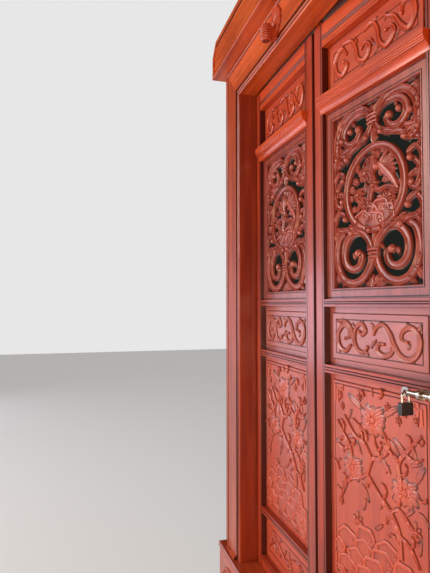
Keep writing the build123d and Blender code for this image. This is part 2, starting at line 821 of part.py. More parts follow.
def padlock_body():
    """The padlock's case, with two sockets for the shackle's legs."""
    case = Pos(eye_x, -bolt_axis_out, padlock_top - padlock_height / 2) * Box(
        padlock_thickness, padlock_width, padlock_height)
    case = fillet(case.edges().filter_by(Axis.X), padlock_corner)
    socket_foot = padlock_top - shackle_in_body - shackle_play
    sockets = [rod(eye_x, -bolt_axis_out + side * shackle_bend, socket_foot, padlock_top + cutter_overrun,
                   shackle_radius + shackle_play) for side in (-1, 1)]
    return case - sockets


def build_all():
    """Every node's shape by name."""
    members = {
        "hinge_stile": hinge_stile(),
        "meeting_stile": meeting_stile(),
        "top_rail": top_rail(),
        "ledge_rail": ledge(),
        "middle_rails": Compound([rail(*upper_rail), rail(*lock_rail)]),
        "lower_rails": Compound([rail(*low_rail), rail(*bottom_rail, groove_below=False)]),
        "top_panel": relief_panel(ledge_rail[1], top_rail_span[0], vine_relief),
        "pierced_panel": pierced_panel(),
        "middle_panel": relief_panel(lock_rail[1], upper_rail[0], scroll_relief),
        "tall_panel": relief_panel(low_rail[1], lock_rail[0], tall_relief),
        "bottom_panel": relief_panel(bottom_rail[1], low_rail[0], scroll_relief),
    }
    nodes = {}
    for index in range(4):
        for name, shape in members.items():
            nodes[f"leaf_{index + 1}_{name}"] = place_leaf(shape, index)
    nodes["threshold_beam"] = threshold_beam()
    nodes["threshold_apron"] = apron_board()
    nodes["left_jamb"] = jamb(-1)
    nodes["right_jamb"] = jamb(1)
    nodes["left_casing"] = casing_leg(-1)
    nodes["right_casing"] = casing_leg(1)
    nodes["head_casing"] = casing_head()
    nodes["head_rail"] = head_rail()
    nodes["cornice_beam"] = head_beam()
    nodes["head_bosses"] = Compound([boss(x, z) for x, z in boss_places()])
    nodes["bolt_plate"] = place_leaf(bolt_plate(), 1)
    nodes["bolt_bar"] = place_leaf(bolt_bar(), 1)
    nodes["keeper_plate"] = place_leaf(keeper_plate(), 2)
    nodes["padlock_shackle"] = place_leaf(shackle(), 1)
    nodes["padlock_body"] = place_leaf(padlock_body(), 1)
    return nodes


os.makedirs("parts", exist_ok=True)
for node_name, node_shape in build_all().items():
    export_step(node_shape, f"parts/{node_name}.step")
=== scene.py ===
import math

import bpy
import numpy as np
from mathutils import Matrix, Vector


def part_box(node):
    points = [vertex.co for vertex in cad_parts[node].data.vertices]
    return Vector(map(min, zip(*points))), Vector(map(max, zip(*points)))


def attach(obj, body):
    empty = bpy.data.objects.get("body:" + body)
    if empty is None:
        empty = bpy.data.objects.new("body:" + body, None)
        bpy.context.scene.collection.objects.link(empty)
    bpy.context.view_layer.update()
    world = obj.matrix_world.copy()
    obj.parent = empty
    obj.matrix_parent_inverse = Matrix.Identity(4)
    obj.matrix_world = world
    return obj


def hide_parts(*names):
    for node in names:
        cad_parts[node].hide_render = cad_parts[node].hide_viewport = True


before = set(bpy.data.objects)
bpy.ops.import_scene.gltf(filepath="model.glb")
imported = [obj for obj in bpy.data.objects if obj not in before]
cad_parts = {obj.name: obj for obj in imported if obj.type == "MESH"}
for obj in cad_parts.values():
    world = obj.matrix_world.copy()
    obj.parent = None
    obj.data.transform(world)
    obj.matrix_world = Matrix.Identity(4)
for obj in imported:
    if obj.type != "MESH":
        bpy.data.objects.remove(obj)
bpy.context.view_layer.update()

# The view: a camera at eye height in front of the door's right half, which looks
# along the leaves towards the left jamb and a little upwards.
picture_size = (430, 573)
focal_length_in_pixels = 487.5
film_side = 36.0
view_data = bpy.data.cameras.new("view")
view_data.lens = focal_length_in_pixels / max(picture_size) * film_side
view_data.sensor_width = film_side
view = bpy.data.objects.new("view", view_data)
bpy.context.scene.collection.objects.link(view)
eye = (1.028, -0.843, 1.441)
tilt_up = 2.05
turn_from_leaves = 15.86
view.location = eye
view.rotation_euler = (math.radians(90 + tilt_up), 0.0, math.radians(90 - turn_from_leaves))
bpy.context.scene.camera = view


# The frame's timbers: threshold beam, jambs, mitred architrave, rebated head rail and
# shouldered head beam, planed from straight-grained timber and varnished a deep red.
class Value:
    """A number or colour that a node gives; its operators add Math nodes."""

    def __init__(self, finish, socket):
        self.finish = finish
        self.socket = socket

    def math(self, operation, first, second):
        return self.finish.math(operation, first, second)

    def __add__(self, other):
        return self.math("ADD", self, other)

    def __sub__(self, other):
        return self.math("SUBTRACT", self, other)

    def __mul__(self, other):
        return self.math("MULTIPLY", self, other)

    def __radd__(self, other):
        return self.math("ADD", other, self)

    def __rsub__(self, other):
        return self.math("SUBTRACT", other, self)

    def __rmul__(self, other):
        return self.math("MULTIPLY", other, self)


class Finish:
    """A material in the making, with a Principled shader at its end."""

    def __init__(self, name, **fixed):
        self.material = bpy.data.materials.new(name)
        self.material.use_nodes = True
        self.tree = self.material.node_tree
        self.shader = self.tree.nodes["Principled BSDF"]
        for socket, value in fixed.items():
            self.shader.inputs[socket.replace("_", " ")].default_value = value

    def node(self, kind, settings={}, inputs={}, output=0):
        """Adds a node of a type, with its settings first and then its sockets' values or links."""
        made = self.tree.nodes.new(kind)
        for key, value in settings.items():
            setattr(made, key, value)
        for key, value in inputs.items():
            self.join(value, made.inputs[key])
        return Value(self, made.outputs[output])

    def join(self, value, socket):
        if isinstance(value, Value):
            self.tree.links.new(value.socket, socket)
        else:
            socket.default_value = value

    def shade(self, **changing):
        for socket, value in changing.items():
            self.join(value, self.shader.inputs[socket.replace("_", " ")])

    def math(self, operation, first, second):
        return self.node("ShaderNodeMath", {"operation": operation}, {0: first, 1: second})

    def ramp(self, value, low, high, kind="SMOOTHSTEP"):
        """How far a value lies from low to high, as a number from 0 to 1."""
        return self.node("ShaderNodeMapRange", {"interpolation_type": kind},
                         {"Value": value, "From Min": low, "From Max": high})

    def part(self, vector, axis):
        return self.node("ShaderNodeSeparateXYZ", {}, {0: vector}, output="XYZ".index(axis))

    def turned(self, turn, stretch=(1.0, 1.0, 1.0)):
        """Object coordinates turned about the upright axis, then stretched along each axis."""
        place = self.node("ShaderNodeTexCoord", output="Object")
        return self.node("ShaderNodeMapping", {},
                         {"Vector": place, "Rotation": (0.0, 0.0, turn), "Scale": stretch})

    def noise(self, stretch, turn=0.0, detail=4.0, distortion=0.0):
        """Noise on object coordinates, with a count of waves to the metre along each axis."""
        return self.node("ShaderNodeTexNoise", {},
                         {"Vector": self.turned(turn, stretch), "Scale": 1.0, "Detail": detail,
                          "Roughness": 0.55, "Distortion": distortion})

    def between(self, low, high, factor):
        """The colour that lies a factor of the way from low to high."""
        low, high = ((*colour, 1.0) if isinstance(colour, tuple) else colour for colour in (low, high))
        return self.node("ShaderNodeMix", {"data_type": "RGBA", "clamp_factor": True},
                         {"Factor": factor, 6: low, 7: high}, output=2)

    def bump(self, strength, distance, height):
        return self.node("ShaderNodeBump", {},
                         {"Strength": strength, "Distance": distance, "Height": height})


def dimmed(colour, share):
    """A share of a colour, part by part."""
    return tuple(share * part for part in colour)


def varnished(name, light, deep, grain, carved=False, turn=0.0, lines=(), heel=0.0, painted_sheen=0.03):
    """Varnished timber: fine pores and broad bands along the grain, thicker varnish where it is
    deep.  On carving the hollows are darkened with painted shade, partly for glaze that pools
    there, and the crests are lightened with a painted highlight.  Painted shade also darkens the
    quirks of a moulding, at the given places across the grain.  Below the top a milky lilac tint
    is painted on as a sheen, a painted reflection that is weaker low down."""
    finish = Finish(name, Coat_Roughness=0.20, Coat_IOR=1.5, IOR=1.45, Specular_IOR_Level=0.30)
    band_waves = {"x": (1.6, 30.0, 30.0), "z": (30.0, 30.0, 1.6)}[grain]
    pore_waves = {"x": (9.0, 420.0, 420.0), "z": (420.0, 420.0, 9.0)}[grain]
    band = finish.noise(band_waves, turn, detail=5.0, distortion=0.6)
    pore = finish.noise(pore_waves, turn, detail=3.0)
    cloud = finish.noise((2.3, 2.3, 1.9), turn, detail=3.0)
    rub = finish.noise((26.0, 26.0, 26.0), turn)
    streak = finish.ramp(pore, 0.55, 0.75, "LINEAR")
    wood = finish.between(deep, light, finish.ramp(0.62 * band + 0.38 * cloud, 0.36, 0.62))
    wood = finish.between(wood, dimmed(deep, 0.45), 0.42 * streak)
    sheen = 0.30 + 0.20 * rub + 0.10 * streak
    # Painted shade: the quirks of a moulding are darkened along the given lines.
    if lines:
        across = finish.part(finish.turned(turn), {"x": "Z", "z": "X"}[grain])
        if grain == "z":
            across = finish.math("ABSOLUTE", across - heel, 0.0)
        quirk = None
        for line in lines:
            near = 1 - finish.math("ABSOLUTE", across - line, 0.0) * (1 / quirk_reach)
            quirk = finish.math("MAXIMUM", quirk, near) if quirk else near
        painted_quirk_shade = 0.95 * finish.math("MINIMUM", 1.6 * quirk, 1.0)
        wood = finish.between(wood, dimmed(deep, 0.22), painted_quirk_shade)
    # Painted sheen: a milky lilac tint in the base colour stands for reflected light, gone at the top and
    # weaker low down.
    above = finish.part(finish.node("ShaderNodeTexCoord", output="Object"), "Z")
    high_up = finish.ramp(above, 1.25, 2.05)
    low_down = finish.ramp(above, 0.45, 1.05)
    painted_sheen_tone = (0.56, 0.47, 0.52)
    wood = finish.between(wood, painted_sheen_tone, painted_sheen * (1 - high_up) * (0.25 + 0.75 * low_down))
    if carved:
        # Painted shade darkens the hollows by the relief value, partly for glaze that pools there; a painted
        # highlight pales the crests.
        relief = finish.node("ShaderNodeAttribute", {"attribute_name": "relief"}, output="Fac")
        hollow = finish.ramp(relief + 0.20 * (rub - 0.5), 0.08, 0.66)
        wood = finish.between(dimmed(deep, 0.13), wood, 0.04 + 0.96 * hollow)
        crest_highlight = finish.ramp(relief, 0.80, 1.0, "LINEAR")
        pale = tuple(min(1.0, 1.30 * part + 0.035) for part in light)
        wood = finish.between(wood, pale, 0.50 * crest_highlight)
        sheen = sheen + 0.20 * (1 - hollow) - 0.12 * crest_highlight
    height = 0.5 * band - 0.8 * streak + 0.35 * rub
    finish.shade(Base_Color=wood, Roughness=sheen, Coat_Weight=0.40 + 0.35 * cloud,
                 Normal=finish.bump(0.10, 0.0012, height))
    return finish.material


def coat(node, material):
    """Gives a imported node's object one material."""
    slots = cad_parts[node].data.materials
    slots.clear()
    slots.append(material)


frame_light = (0.44, 0.060, 0.012)
frame_deep = (0.25, 0.026, 0.006)
half_opening = 1.2075
soffit = 2.470
threshold_top = 0.215
# How far each side of its line the painted shade in a quirk reaches; the line lists give where it lies.
quirk_reach = 0.0036
architrave_lines = (0.0135, 0.0270, 0.1505)
nosing_line = 0.202
head_beam_lines = [2.661, 2.785]
upright_timber = varnished("frame_timber_upright", frame_light, frame_deep, "z",
                           lines=[half_opening + line for line in architrave_lines])
level_timber = varnished("frame_timber_level", frame_light, frame_deep, "x", lines=[nosing_line])
jamb_timber = varnished("jamb_timber", (0.32, 0.038, 0.011), (0.21, 0.021, 0.007), "z", painted_sheen=0.0)
for node in ("left_casing", "right_casing"):
    coat(node, upright_timber)
for node in ("left_jamb", "right_jamb"):
    coat(node, jamb_timber)
coat("threshold_beam", level_timber)
# The head's timbers take a lighter, more orange copy of the frame timber: painted light for the lit head and
# soffit.
lit_head_light = (0.62, 0.105, 0.018)
lit_head_deep = (0.38, 0.048, 0.008)
lit_head_timber = varnished("lit_head_timber", lit_head_light, lit_head_deep, "x",
                        lines=[soffit + line for line in architrave_lines] + head_beam_lines)
for node in ("head_casing", "head_rail", "cornice_beam"):
    coat(node, lit_head_timber)


# The apron board: a plank let into the threshold's front, with flowering scrolls in low
# relief inside a margin, carved with gouges from the same timber.
def smooth_line(points, count):
    """A curve through the points: each span is the cubic whose slope at a point is half the
    step between that point's neighbours."""
    given = np.asarray(points, float)
    ends = 2 * given[:1] - given[1:2], 2 * given[-1:] - given[-2:-1]
    padded = np.vstack([ends[0], given, ends[1]])
    place = np.linspace(0, len(given) - 1, count)
    span = np.minimum(place.astype(int), len(given) - 2)
    part = (place - span)[:, None]
    a, b, c, d = (padded[span + i] for i in range(4))
    return b + 0.5 * part * (c - a + part * (2 * a - 5 * b + 4 * c - d + part * (3 * b - a - 3 * c + d)))


# Profiles of carved work, as hundredths of the half width across and of the rise
# The low skirt at each side of the gouged and rounded profiles has a low relief, and so a painted shadow line
# round each stroke.
gouged = np.array([(-132, 0), (-124, 19), (-102, 21), (-98, 50), (-91, 84), (-76, 100), (-58, 94),
                   (-42, 66), (-18, 58), (10, 68), (36, 84), (66, 92), (86, 78), (98, 46), (102, 21),
                   (124, 19), (132, 0)]) / 100
rimmed = np.array([(-100, 0), (-100, 60), (-94, 90), (-82, 100), (-66, 90), (-48, 66), (-16, 56),
                   (16, 56), (48, 66), (66, 90), (82, 100), (94, 90), (100, 60), (100, 0)]) / 100
rounded = np.array([(-120, 0), (-116, 19), (-102, 21), (-96, 44), (-78, 78), (-42, 96), (0, 100),
                    (42, 96), (78, 78), (96, 44), (102, 21), (116, 19), (120, 0)]) / 100
squared = np.array([(-100, 0), (-100, 80), (-75, 100), (75, 100), (100, 80), (100, 0)]) / 100


def along_line(line):
    """A line's unit steps, from its gradient, and the directions at right angles to them."""
    step = np.gradient(line, axis=0)
    step /= np.linalg.norm(step, axis=1)[:, None]
    return step, np.column_stack([-step[:, 1], step[:, 0]])


class Carving:
    """Closed skins in a panel's own place: x across, y from front to back and z up."""

    def __init__(self, ground, relief_depth):
        self.ground = ground
        self.relief_depth = relief_depth
        self.points = []
        self.faces = []
        self.reliefs = []
        self.count = 0

    def skin(self, rings, hoop=False, relief=None):
        """Joins rings of points in turn.  A pole closes each end, or a hoop joins the last ring to
        the first.  The faces are turned to face outwards by the sign of the volume they enclose.
        A point's relief is its rise over the ground as a share of the depth, unless one is given."""
        ring_count, around = rings.shape[:2]
        points = rings.reshape(-1, 3)
        row = np.arange(ring_count if hoop else ring_count - 1)[:, None]
        column = np.arange(around)[None, :]
        after = (column + 1) % around
        below = (row + 1) % ring_count
        quads = np.stack([row * around + column, row * around + after, below * around + after,
                          below * around + column], axis=-1).reshape(-1, 4)
        triangles = np.vstack([quads[:, [0, 1, 2]], quads[:, [0, 2, 3]]])
        if not hoop:
            poles = np.vstack([rings[0].mean(axis=0), rings[-1].mean(axis=0)])
            points = np.vstack([points, poles])
            near, far = len(points) - 2, len(points) - 1
            turn = np.arange(around)
            last = (ring_count - 1) * around
            step = (turn + 1) % around
            head = np.stack([step, turn, np.full(around, near)], axis=-1)
            tail = np.stack([last + turn, last + step, np.full(around, far)], axis=-1)
            triangles = np.vstack([triangles, head, tail])
        corner = points[triangles] - points[0]
        volume = np.einsum("ij,ij->i", corner[:, 0], np.cross(corner[:, 1], corner[:, 2])).sum()
        if volume < 0:
            triangles = triangles[:, ::-1]
        if relief is None:
            relief = (self.ground - points[:, 1]) / self.relief_depth
        self.reliefs.append(np.broadcast_to(np.clip(relief, 0.0, 1.0), len(points)))
        self.points.append(points)
        self.faces.append(triangles + self.count)
        self.count += len(points)

    def strand(self, line, widths, front, back, profile=gouged, sharp=False):
        """Carries a profile of (across, rise) along a line of (x, z), at right angles to it."""
        step, normal = along_line(line)
        if sharp:
            first = np.diff(line, axis=0)
            first /= np.linalg.norm(first, axis=1)[:, None]
            before = np.vstack([first[:1], first])
            lean = np.einsum("ij,ij->i", step, before)
            normal /= np.maximum(lean, 0.5)[:, None]
        half = np.broadcast_to(widths, len(line))[:, None] / 2 * profile[:, 0]
        x = line[:, :1] + normal[:, :1] * half
        y = np.broadcast_to(back + (front - back) * profile[:, 1], half.shape)
        z = line[:, 1:] + normal[:, 1:] * half
        ends = profile[:, 1].mean()
        relief = np.append(np.tile(profile[:, 1], len(line)), (ends, ends))
        self.skin(np.stack([x, y, z], axis=-1), relief=relief)

    def stem(self, points, width, front, back, count=24, profile=gouged, tips=(0.35, 0.15)):
        """A strand through points whose width swells by a sine from one tip to the other."""
        along = np.linspace(0, 1, count)
        swell = np.sin(np.pi * np.clip(along, 0.02, 0.98)) ** 0.5
        taper = tips[0] + (tips[1] - tips[0]) * along
        shape = taper + (1 - taper) * swell
        self.strand(smooth_line(points, count), width * shape, front, back, profile)

    def volute(self, centre, start, sweep, first, last, width, front, back, count, ball=0.0,
               profile=gouged):
        """A strand on a spiral: its radius falls from first to last in step with its angle; a ball
        may end it."""
        part = np.linspace(0, 1, count)
        angle = np.radians(start + sweep * part)
        radius = first + (last - first) * part ** 0.85
        line = np.column_stack([centre[0] + radius * np.cos(angle), centre[1] + radius * np.sin(angle)])
        shape = 0.45 + 0.55 * np.sin(np.pi * np.clip(part * 0.9 + 0.06, 0, 1)) ** 0.5
        self.strand(line, width * shape, front, back, profile)
        if ball:
            self.ball(line[-1], ball, front + 0.35 * ball)

    def ball(self, centre, radius, middle, flatten=1.0, rings=7, around=12):
        """A sphere about (x, z), at a depth, that may be flattened from front to back."""
        lean = np.linspace(0.22, np.pi - 0.22, rings)[:, None]
        turn = np.linspace(0, 2 * np.pi, around, endpoint=False)[None, :]
        x = centre[0] + radius * np.sin(lean) * np.cos(turn)
        z = centre[1] + radius * np.sin(lean) * np.sin(turn)
        y = np.broadcast_to(middle - flatten * radius * np.cos(lean), x.shape)
        self.skin(np.stack([x, y, z], axis=-1))

    def blade(self, root, tip, width, front, back, bend=0.0, teeth=0, hollow=0.30, fullness=0.8,
              count=13, droop=0.5):
        """A leaf or petal: its half width follows a sine of its length, with teeth if wanted, its
        face is a dome across with a groove along the middle, and its tip droops to the back."""
        root, tip = np.asarray(root, float), np.asarray(tip, float)
        t = np.linspace(0.02, 0.985, count)
        run = tip - root
        side = np.array([-run[1], run[0]]) / np.hypot(*run)
        line = root + run * t[:, None] + side * bend * np.sin(np.pi * t)[:, None]
        step, normal = along_line(line)
        half = width / 2 * np.sin(np.pi * t ** fullness) ** 0.8
        if teeth:
            half = half * (1 + 0.28 * (t * teeth % 1.0 - 0.5))
        across = np.array([-1.0, -0.72, -0.40, -0.14, 0.0, 0.14, 0.40, 0.72, 1.0])
        rise = 1 - 0.62 * across ** 2 - hollow * np.exp(-(across / 0.16) ** 2)
        sink = (1 - droop * t ** 2)[:, None] * np.sin(np.pi * np.clip(t + 0.12, 0, 1))[:, None] ** 0.35
        y = back + (front - back) * rise[None, :] * sink
        x = line[:, :1] + normal[:, :1] * half[:, None] * across
        z = line[:, 1:] + normal[:, 1:] * half[:, None] * across
        face = np.stack([x, y, z], axis=-1)
        rear = face[:, ::-1][:, [0, 4, 8]].copy()
        rear[:, :, 1] = back
        self.skin(np.concatenate([face, rear], axis=1))

    def flower(self, centre, radius, front, back, petals=9, turn=0.0, squash=1.0, pointed=0.9):
        """Two rings of petals round a domed heart set with seeds."""
        cx, cz = centre
        whorls = ((1.0, 0.22, petals, 0.0), (0.66, 0.12, petals - 2, 0.30))
        for ring, (reach, start, number, lift) in enumerate(whorls):
            for i in range(number):
                angle = math.radians(turn + 360.0 * (i + 0.5 * ring) / number)
                ex, ez = math.cos(angle), math.sin(angle) * squash
                near = radius * start
                far = radius * reach * (0.90 + 0.14 * math.sin(2.4 * i + turn))
                self.blade((cx + near * ex, cz + near * ez), (cx + far * ex, cz + far * ez),
                           radius * 0.42 * reach, front - lift * (back - front), back, bend=radius * 0.10,
                           teeth=2, fullness=pointed, count=9, droop=0.35)
        self.ball(centre, radius * 0.22, front + 0.1 * radius, flatten=0.5)
        for i in range(6):
            angle = math.radians(60 * i + turn)
            self.ball((cx + 0.15 * radius * math.cos(angle), cz + 0.15 * radius * math.sin(angle)),
                      radius * 0.055, front, rings=4, around=7)

    def mound(self, centre, reach, height, front, back):
        """A rounded rock: wavy ellipses, their radius changed by a cosine of five times the angle, that
        shrink as a power of the height's cosine, with a rolled rim of the same outline."""
        lean = np.linspace(0.0, 0.47 * np.pi, 7)[:, None]
        turn = np.linspace(0, 2 * np.pi, 22, endpoint=False)[None, :]
        phase = 90.0 * centre[0] + 60.0 * centre[1]
        wave = 0.94 + 0.07 * np.cos(5 * turn + phase)
        x = centre[0] + reach * wave * np.cos(lean) ** 0.6 * np.cos(turn)
        z = centre[1] + height * wave * np.cos(lean) ** 0.6 * np.sin(turn)
        y = np.broadcast_to(back + 0.78 * (front - back) * np.sin(lean), x.shape)
        self.skin(np.stack([x, y, z], axis=-1))
        arc = np.radians(np.linspace(205, -25, 26))
        wave = 0.88 + 0.07 * np.cos(5 * arc + phase)
        rim = np.column_stack([centre[0] + reach * wave * np.cos(arc),
                               centre[1] + height * wave * np.sin(arc)])
        width = 0.42 * min(reach, height) * (0.35 + 0.65 * np.sin(np.linspace(0.1, 3.04, 26)))
        self.strand(rim, width, front, back, rounded)
        swirl = 0.30 * min(reach, height)
        self.volute((centre[0] + 0.52 * reach, centre[1] + 0.10 * height), 20, -330, swirl,
                    0.3 * swirl, 0.6 * swirl, front, back, count=16, profile=rounded)

    def nested(self, x_span, z_span, steps, hoop=False):
        """Rectangles one inside the other: each step gives how far in it lies, its depth, and a
        third value where it is a sunk line, which gets a relief of nought and so painted shade."""
        rings, relief = [], []
        for inset, depth, *sunk in steps:
            x0, x1 = x_span[0] + inset, x_span[1] - inset
            z0, z1 = z_span[0] + inset, z_span[1] - inset
            rings.append([(x0, depth, z0), (x1, depth, z0), (x1, depth, z1), (x0, depth, z1)])
            relief += [0.0 if sunk else 0.72] * 4
        if not hoop:
            relief += [relief[0], relief[-1]]
        self.skin(np.array(rings), hoop, relief=np.array(relief))

    def make(self, name, material, place=None, flipped=False):
        """Puts the skins into one mesh, each corner by its place, with a relief value at each point."""
        points = np.vstack(self.points)
        faces = np.vstack(self.faces)
        relief = np.concatenate(self.reliefs)
        if place is not None:
            points = place(points)
        if flipped:
            faces = faces[:, ::-1]
        mesh = bpy.data.meshes.new(name)
        mesh.vertices.add(len(points))
        mesh.vertices.foreach_set("co", points.ravel())
        mesh.loops.add(faces.size)
        mesh.loops.foreach_set("vertex_index", faces.ravel())
        mesh.polygons.add(len(faces))
        mesh.polygons.foreach_set("loop_start", np.arange(0, faces.size, 3))
        mesh.polygons.foreach_set("use_smooth", np.ones(len(faces), bool))
        mesh.update(calc_edges=True)
        # The relief value drives the painted shade in the hollows and the painted highlight on the crests.
        mesh.attributes.new("relief", "FLOAT", "POINT").data.foreach_set("value", relief)
        mesh.set_sharp_from_angle(angle=math.radians(38))
        mesh.materials.append(material)
        piece = bpy.data.objects.new(name, mesh)
        bpy.context.scene.collection.objects.link(piece)
        return piece


carved_light = (0.49, 0.060, 0.014)
carved_deep = (0.37, 0.036, 0.009)
low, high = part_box("threshold_apron")
apron_relief = 0.005
apron_face = low.y + apron_relief
apron_cut = apron_face + 0.001
apron = Carving(ground=apron_face, relief_depth=apron_relief)
apron.nested((low.x, high.x), (low.z, high.z),
             ((0.0, high.y), (0.0, apron_cut), (0.001, apron_face), (0.016, apron_face),
              (0.0175, apron_face + 0.0015), (0.020, apron_face)))
apron_margin = 0.06
bend_length = 0.20
apron_middle = (low.z + high.z) / 2
bends = int((high.x - low.x - 2 * apron_margin) / bend_length)
for i in range(bends):
    x = low.x + apron_margin + bend_length * (i + 0.5)
    side = 1 if i % 2 == 0 else -1
    apron.stem([(x - 0.11, apron_middle - side * 0.02), (x - 0.05, apron_middle + side * 0.035),
                (x + 0.04, apron_middle + side * 0.040), (x + 0.10, apron_middle - side * 0.01)],
               0.013, low.y, apron_cut, count=20)
    apron.volute((x, apron_middle - side * 0.008), 40 * side, -side * 400, 0.036, 0.010, 0.011,
                 low.y, apron_cut, count=30, ball=0.006)
    for reach, lean in ((0.060, 120), (0.052, 60), (0.056, 20)):
        angle = math.radians(side * lean)
        apron.blade((x + 0.012 * math.cos(angle), apron_middle + 0.02 * math.sin(angle)),
                    (x + reach * math.cos(angle) * 1.3, apron_middle + reach * math.sin(angle)),
                    0.020, low.y + 0.001, apron_cut, bend=0.006, teeth=3)


def fixed(carving, name, node, body, material, place=None, flipped=False):
    """Makes a carving's piece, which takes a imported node's place on its body."""
    piece = carving.make(name, material, place, flipped)
    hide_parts(node)
    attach(piece, body)


level_carved = varnished("carved_timber_level", carved_light, carved_deep, "x", carved=True, painted_sheen=0.11)
fixed(apron, "apron_carving", "threshold_apron", "frame", level_carved)

# The two bosses on the architrave's head: a scalloped fan flat on the board, and in front
# of it a ribbed roll on a neck, each turned and carved from one block with a tenon.
low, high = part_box("head_bosses")
fan_back = -0.093
fan_front = -0.104
boss_offset = 0.7315
boss_height = 2.5595
fan_radius = 0.060
lobes = 9
roll_middle = -0.134
roll_radius = 0.0218
roll_half = 0.0345
roll_drop = 0.050
ribs = 7
rib_rise = 0.0024
bosses = Carving(ground=fan_back, relief_depth=0.06)
for x in (-boss_offset, boss_offset):
    turn = np.linspace(0, 2 * np.pi, 144, endpoint=False)[None, :]
    inset = np.array([0.10, 0.0, 0.0, 0.05, 0.14, 0.30, 0.50, 0.72, 0.90])[:, None]
    depth = np.array([0.0, 0.02, 0.55, 0.85, 0.90, 0.96, 1.0, 0.97, 0.92])[:, None]
    scallop = 1 - 0.10 * (1 - np.abs(np.sin(turn * lobes / 2)) ** 0.7)
    flute = 0.16 * np.abs(np.cos(turn * lobes / 2)) ** 3 * np.sin(np.pi * np.clip(inset, 0, 1)) ** 0.5
    radius = fan_radius * (1 - inset) * scallop
    y = fan_back + (fan_front - fan_back) * np.clip(depth - flute, 0, 1) + 0 * turn
    # Painted shade in the fan's flutes by a lowered relief value, with some painted highlight on its high
    # places.
    fan_shade_and_highlight = np.append(np.clip(depth - 2.5 * flute, 0.3, 0.85).ravel(), (0.3, 0.85))
    bosses.skin(np.stack([x + radius * np.cos(turn), y, boss_height + radius * np.sin(turn)], axis=-1),
                relief=fan_shade_and_highlight)
    along = np.linspace(-roll_half, roll_half, 85)[:, None]
    around = np.linspace(0, 2 * np.pi, 30, endpoint=False)[None, :]
    rib = rib_rise * np.abs(np.cos(np.pi * along / (2 * roll_half) * ribs)) ** 0.6
    body = (1 - (np.abs(along) / 0.0375) ** 5) ** 0.5
    roll = (roll_radius + rib) * body
    roll_height = boss_height - roll_drop
    # Painted shade between the roll's ribs and painted highlight on their crests, by the relief value.
    roll_shade_and_highlight = np.append(np.tile(0.15 + 0.80 * rib / rib_rise, around.size).ravel(), (0.5, 0.5))
    bosses.skin(np.stack([x + roll * np.cos(around), roll_middle + roll * np.sin(around),
                          roll_height + along + 0 * around], axis=-1), relief=roll_shade_and_highlight)
    bosses.nested((x - 0.017, x + 0.017), (roll_height - 0.022, roll_height + 0.022),
                  ((0.0, fan_back), (0.0, roll_middle), (0.003, roll_middle - 0.003)))
    bosses.nested((x - 0.012, x + 0.012), (boss_height - 0.012, boss_height + 0.012),
                  ((0.0, high.y), (0.0, fan_back - 0.002), (0.002, fan_back - 0.003)))
boss_timber = varnished("boss_timber", carved_light, carved_deep, "z", carved=True)
fixed(bosses, "carved_bosses", "head_bosses", "frame", boss_timber)

# The leaves' stiles and rails: jointed members with a beaded inner edge, reeds along the
# top rail and a moulded ledge, all of the lighter orange-red varnished timber; the top and
# ledge rails take a lighter, more orange copy of it, painted light for how they are lit.
leaf_light = (0.41, 0.040, 0.008)
leaf_deep = (0.23, 0.018, 0.005)
lit_upper_light = (0.58, 0.074, 0.012)
lit_upper_deep = (0.36, 0.034, 0.006)
rest_angles = (0.0, 6.8, 12.0, 0.0)
left_edges = (-1.2045, -0.6015, 0.6015, 1.2045)
stile_lines = (0.0015, 0.0530, 0.0615, 0.5385, 0.5470, 0.5985)
rail_spans = ((0.004, 0.057), (0.254, 0.281), (0.985, 1.013), (1.217, 1.243), (2.157, 2.243))
bead = 0.0095
first_reed = 2.183
ledge_face = 2.011
reed_pitch = 0.006
leaf_heel = 0.020
rail_lines = [threshold_top + foot + bead for foot, head in rail_spans[1:]]
rail_lines += [threshold_top + head - bead for foot, head in rail_spans[:-1]]
reed_lines = [threshold_top + first_reed + reed_pitch * i for i in range(3)]
ledge_lines = [threshold_top + ledge_face - reed_pitch * i for i in range(4)]
for i, angle in enumerate(rest_angles):
    side = 1 if i < 2 else -1
    swing = math.radians(side * angle)
    heel_x = left_edges[i] + side * leaf_heel
    turned_heel = heel_x * math.cos(swing) + leaf_heel * math.sin(swing) - side * leaf_heel
    stile_timber = varnished(f"stile_timber_{i + 1}", leaf_light, leaf_deep, "z", turn=-swing,
                             lines=stile_lines, heel=turned_heel)
    rail_timber = varnished(f"rail_timber_{i + 1}", leaf_light, leaf_deep, "x", turn=-swing,
                            lines=rail_lines)
    for member in ("hinge_stile", "meeting_stile"):
        coat(f"leaf_{i + 1}_{member}", stile_timber)
    for member in ("middle_rails", "lower_rails"):
        coat(f"leaf_{i + 1}_{member}", rail_timber)
    # The top and ledge rails: a lighter, more orange copy of the leaf timber without painted sheen, as
    # painted light.
    lit_upper_rail_timber = varnished(f"lit_upper_rail_timber_{i + 1}", lit_upper_light, lit_upper_deep, "x",
                                  turn=-swing, lines=reed_lines + ledge_lines, painted_sheen=0.0)
    for member in ("top_rail", "ledge_rail"):
        coat(f"leaf_{i + 1}_{member}", lit_upper_rail_timber)


def in_leaf(index):
    """Where a leaf's own points go: turned on its heel, and mirrored for the right-hand leaves."""
    angle = math.radians(rest_angles[index])
    side = 1 if index < 2 else -1

    def place(points):
        u, y = points[:, 0] - leaf_heel, points[:, 1] - leaf_heel
        x = leaf_heel + u * math.cos(angle) - y * math.sin(angle)
        depth = leaf_heel + u * math.sin(angle) + y * math.cos(angle)
        return np.column_stack([left_edges[index] + side * x, depth, points[:, 2] + threshold_top])

    return place


def hang(carving, panel, material):
    """Makes one piece for each leaf from the same carving and hands it the panel's place."""
    for index in range(4):
        leaf = f"leaf_{index + 1}"
        fixed(carving, f"{leaf}_{panel}_carving", f"{leaf}_{panel}", leaf, material, in_leaf(index),
              flipped=index > 1)


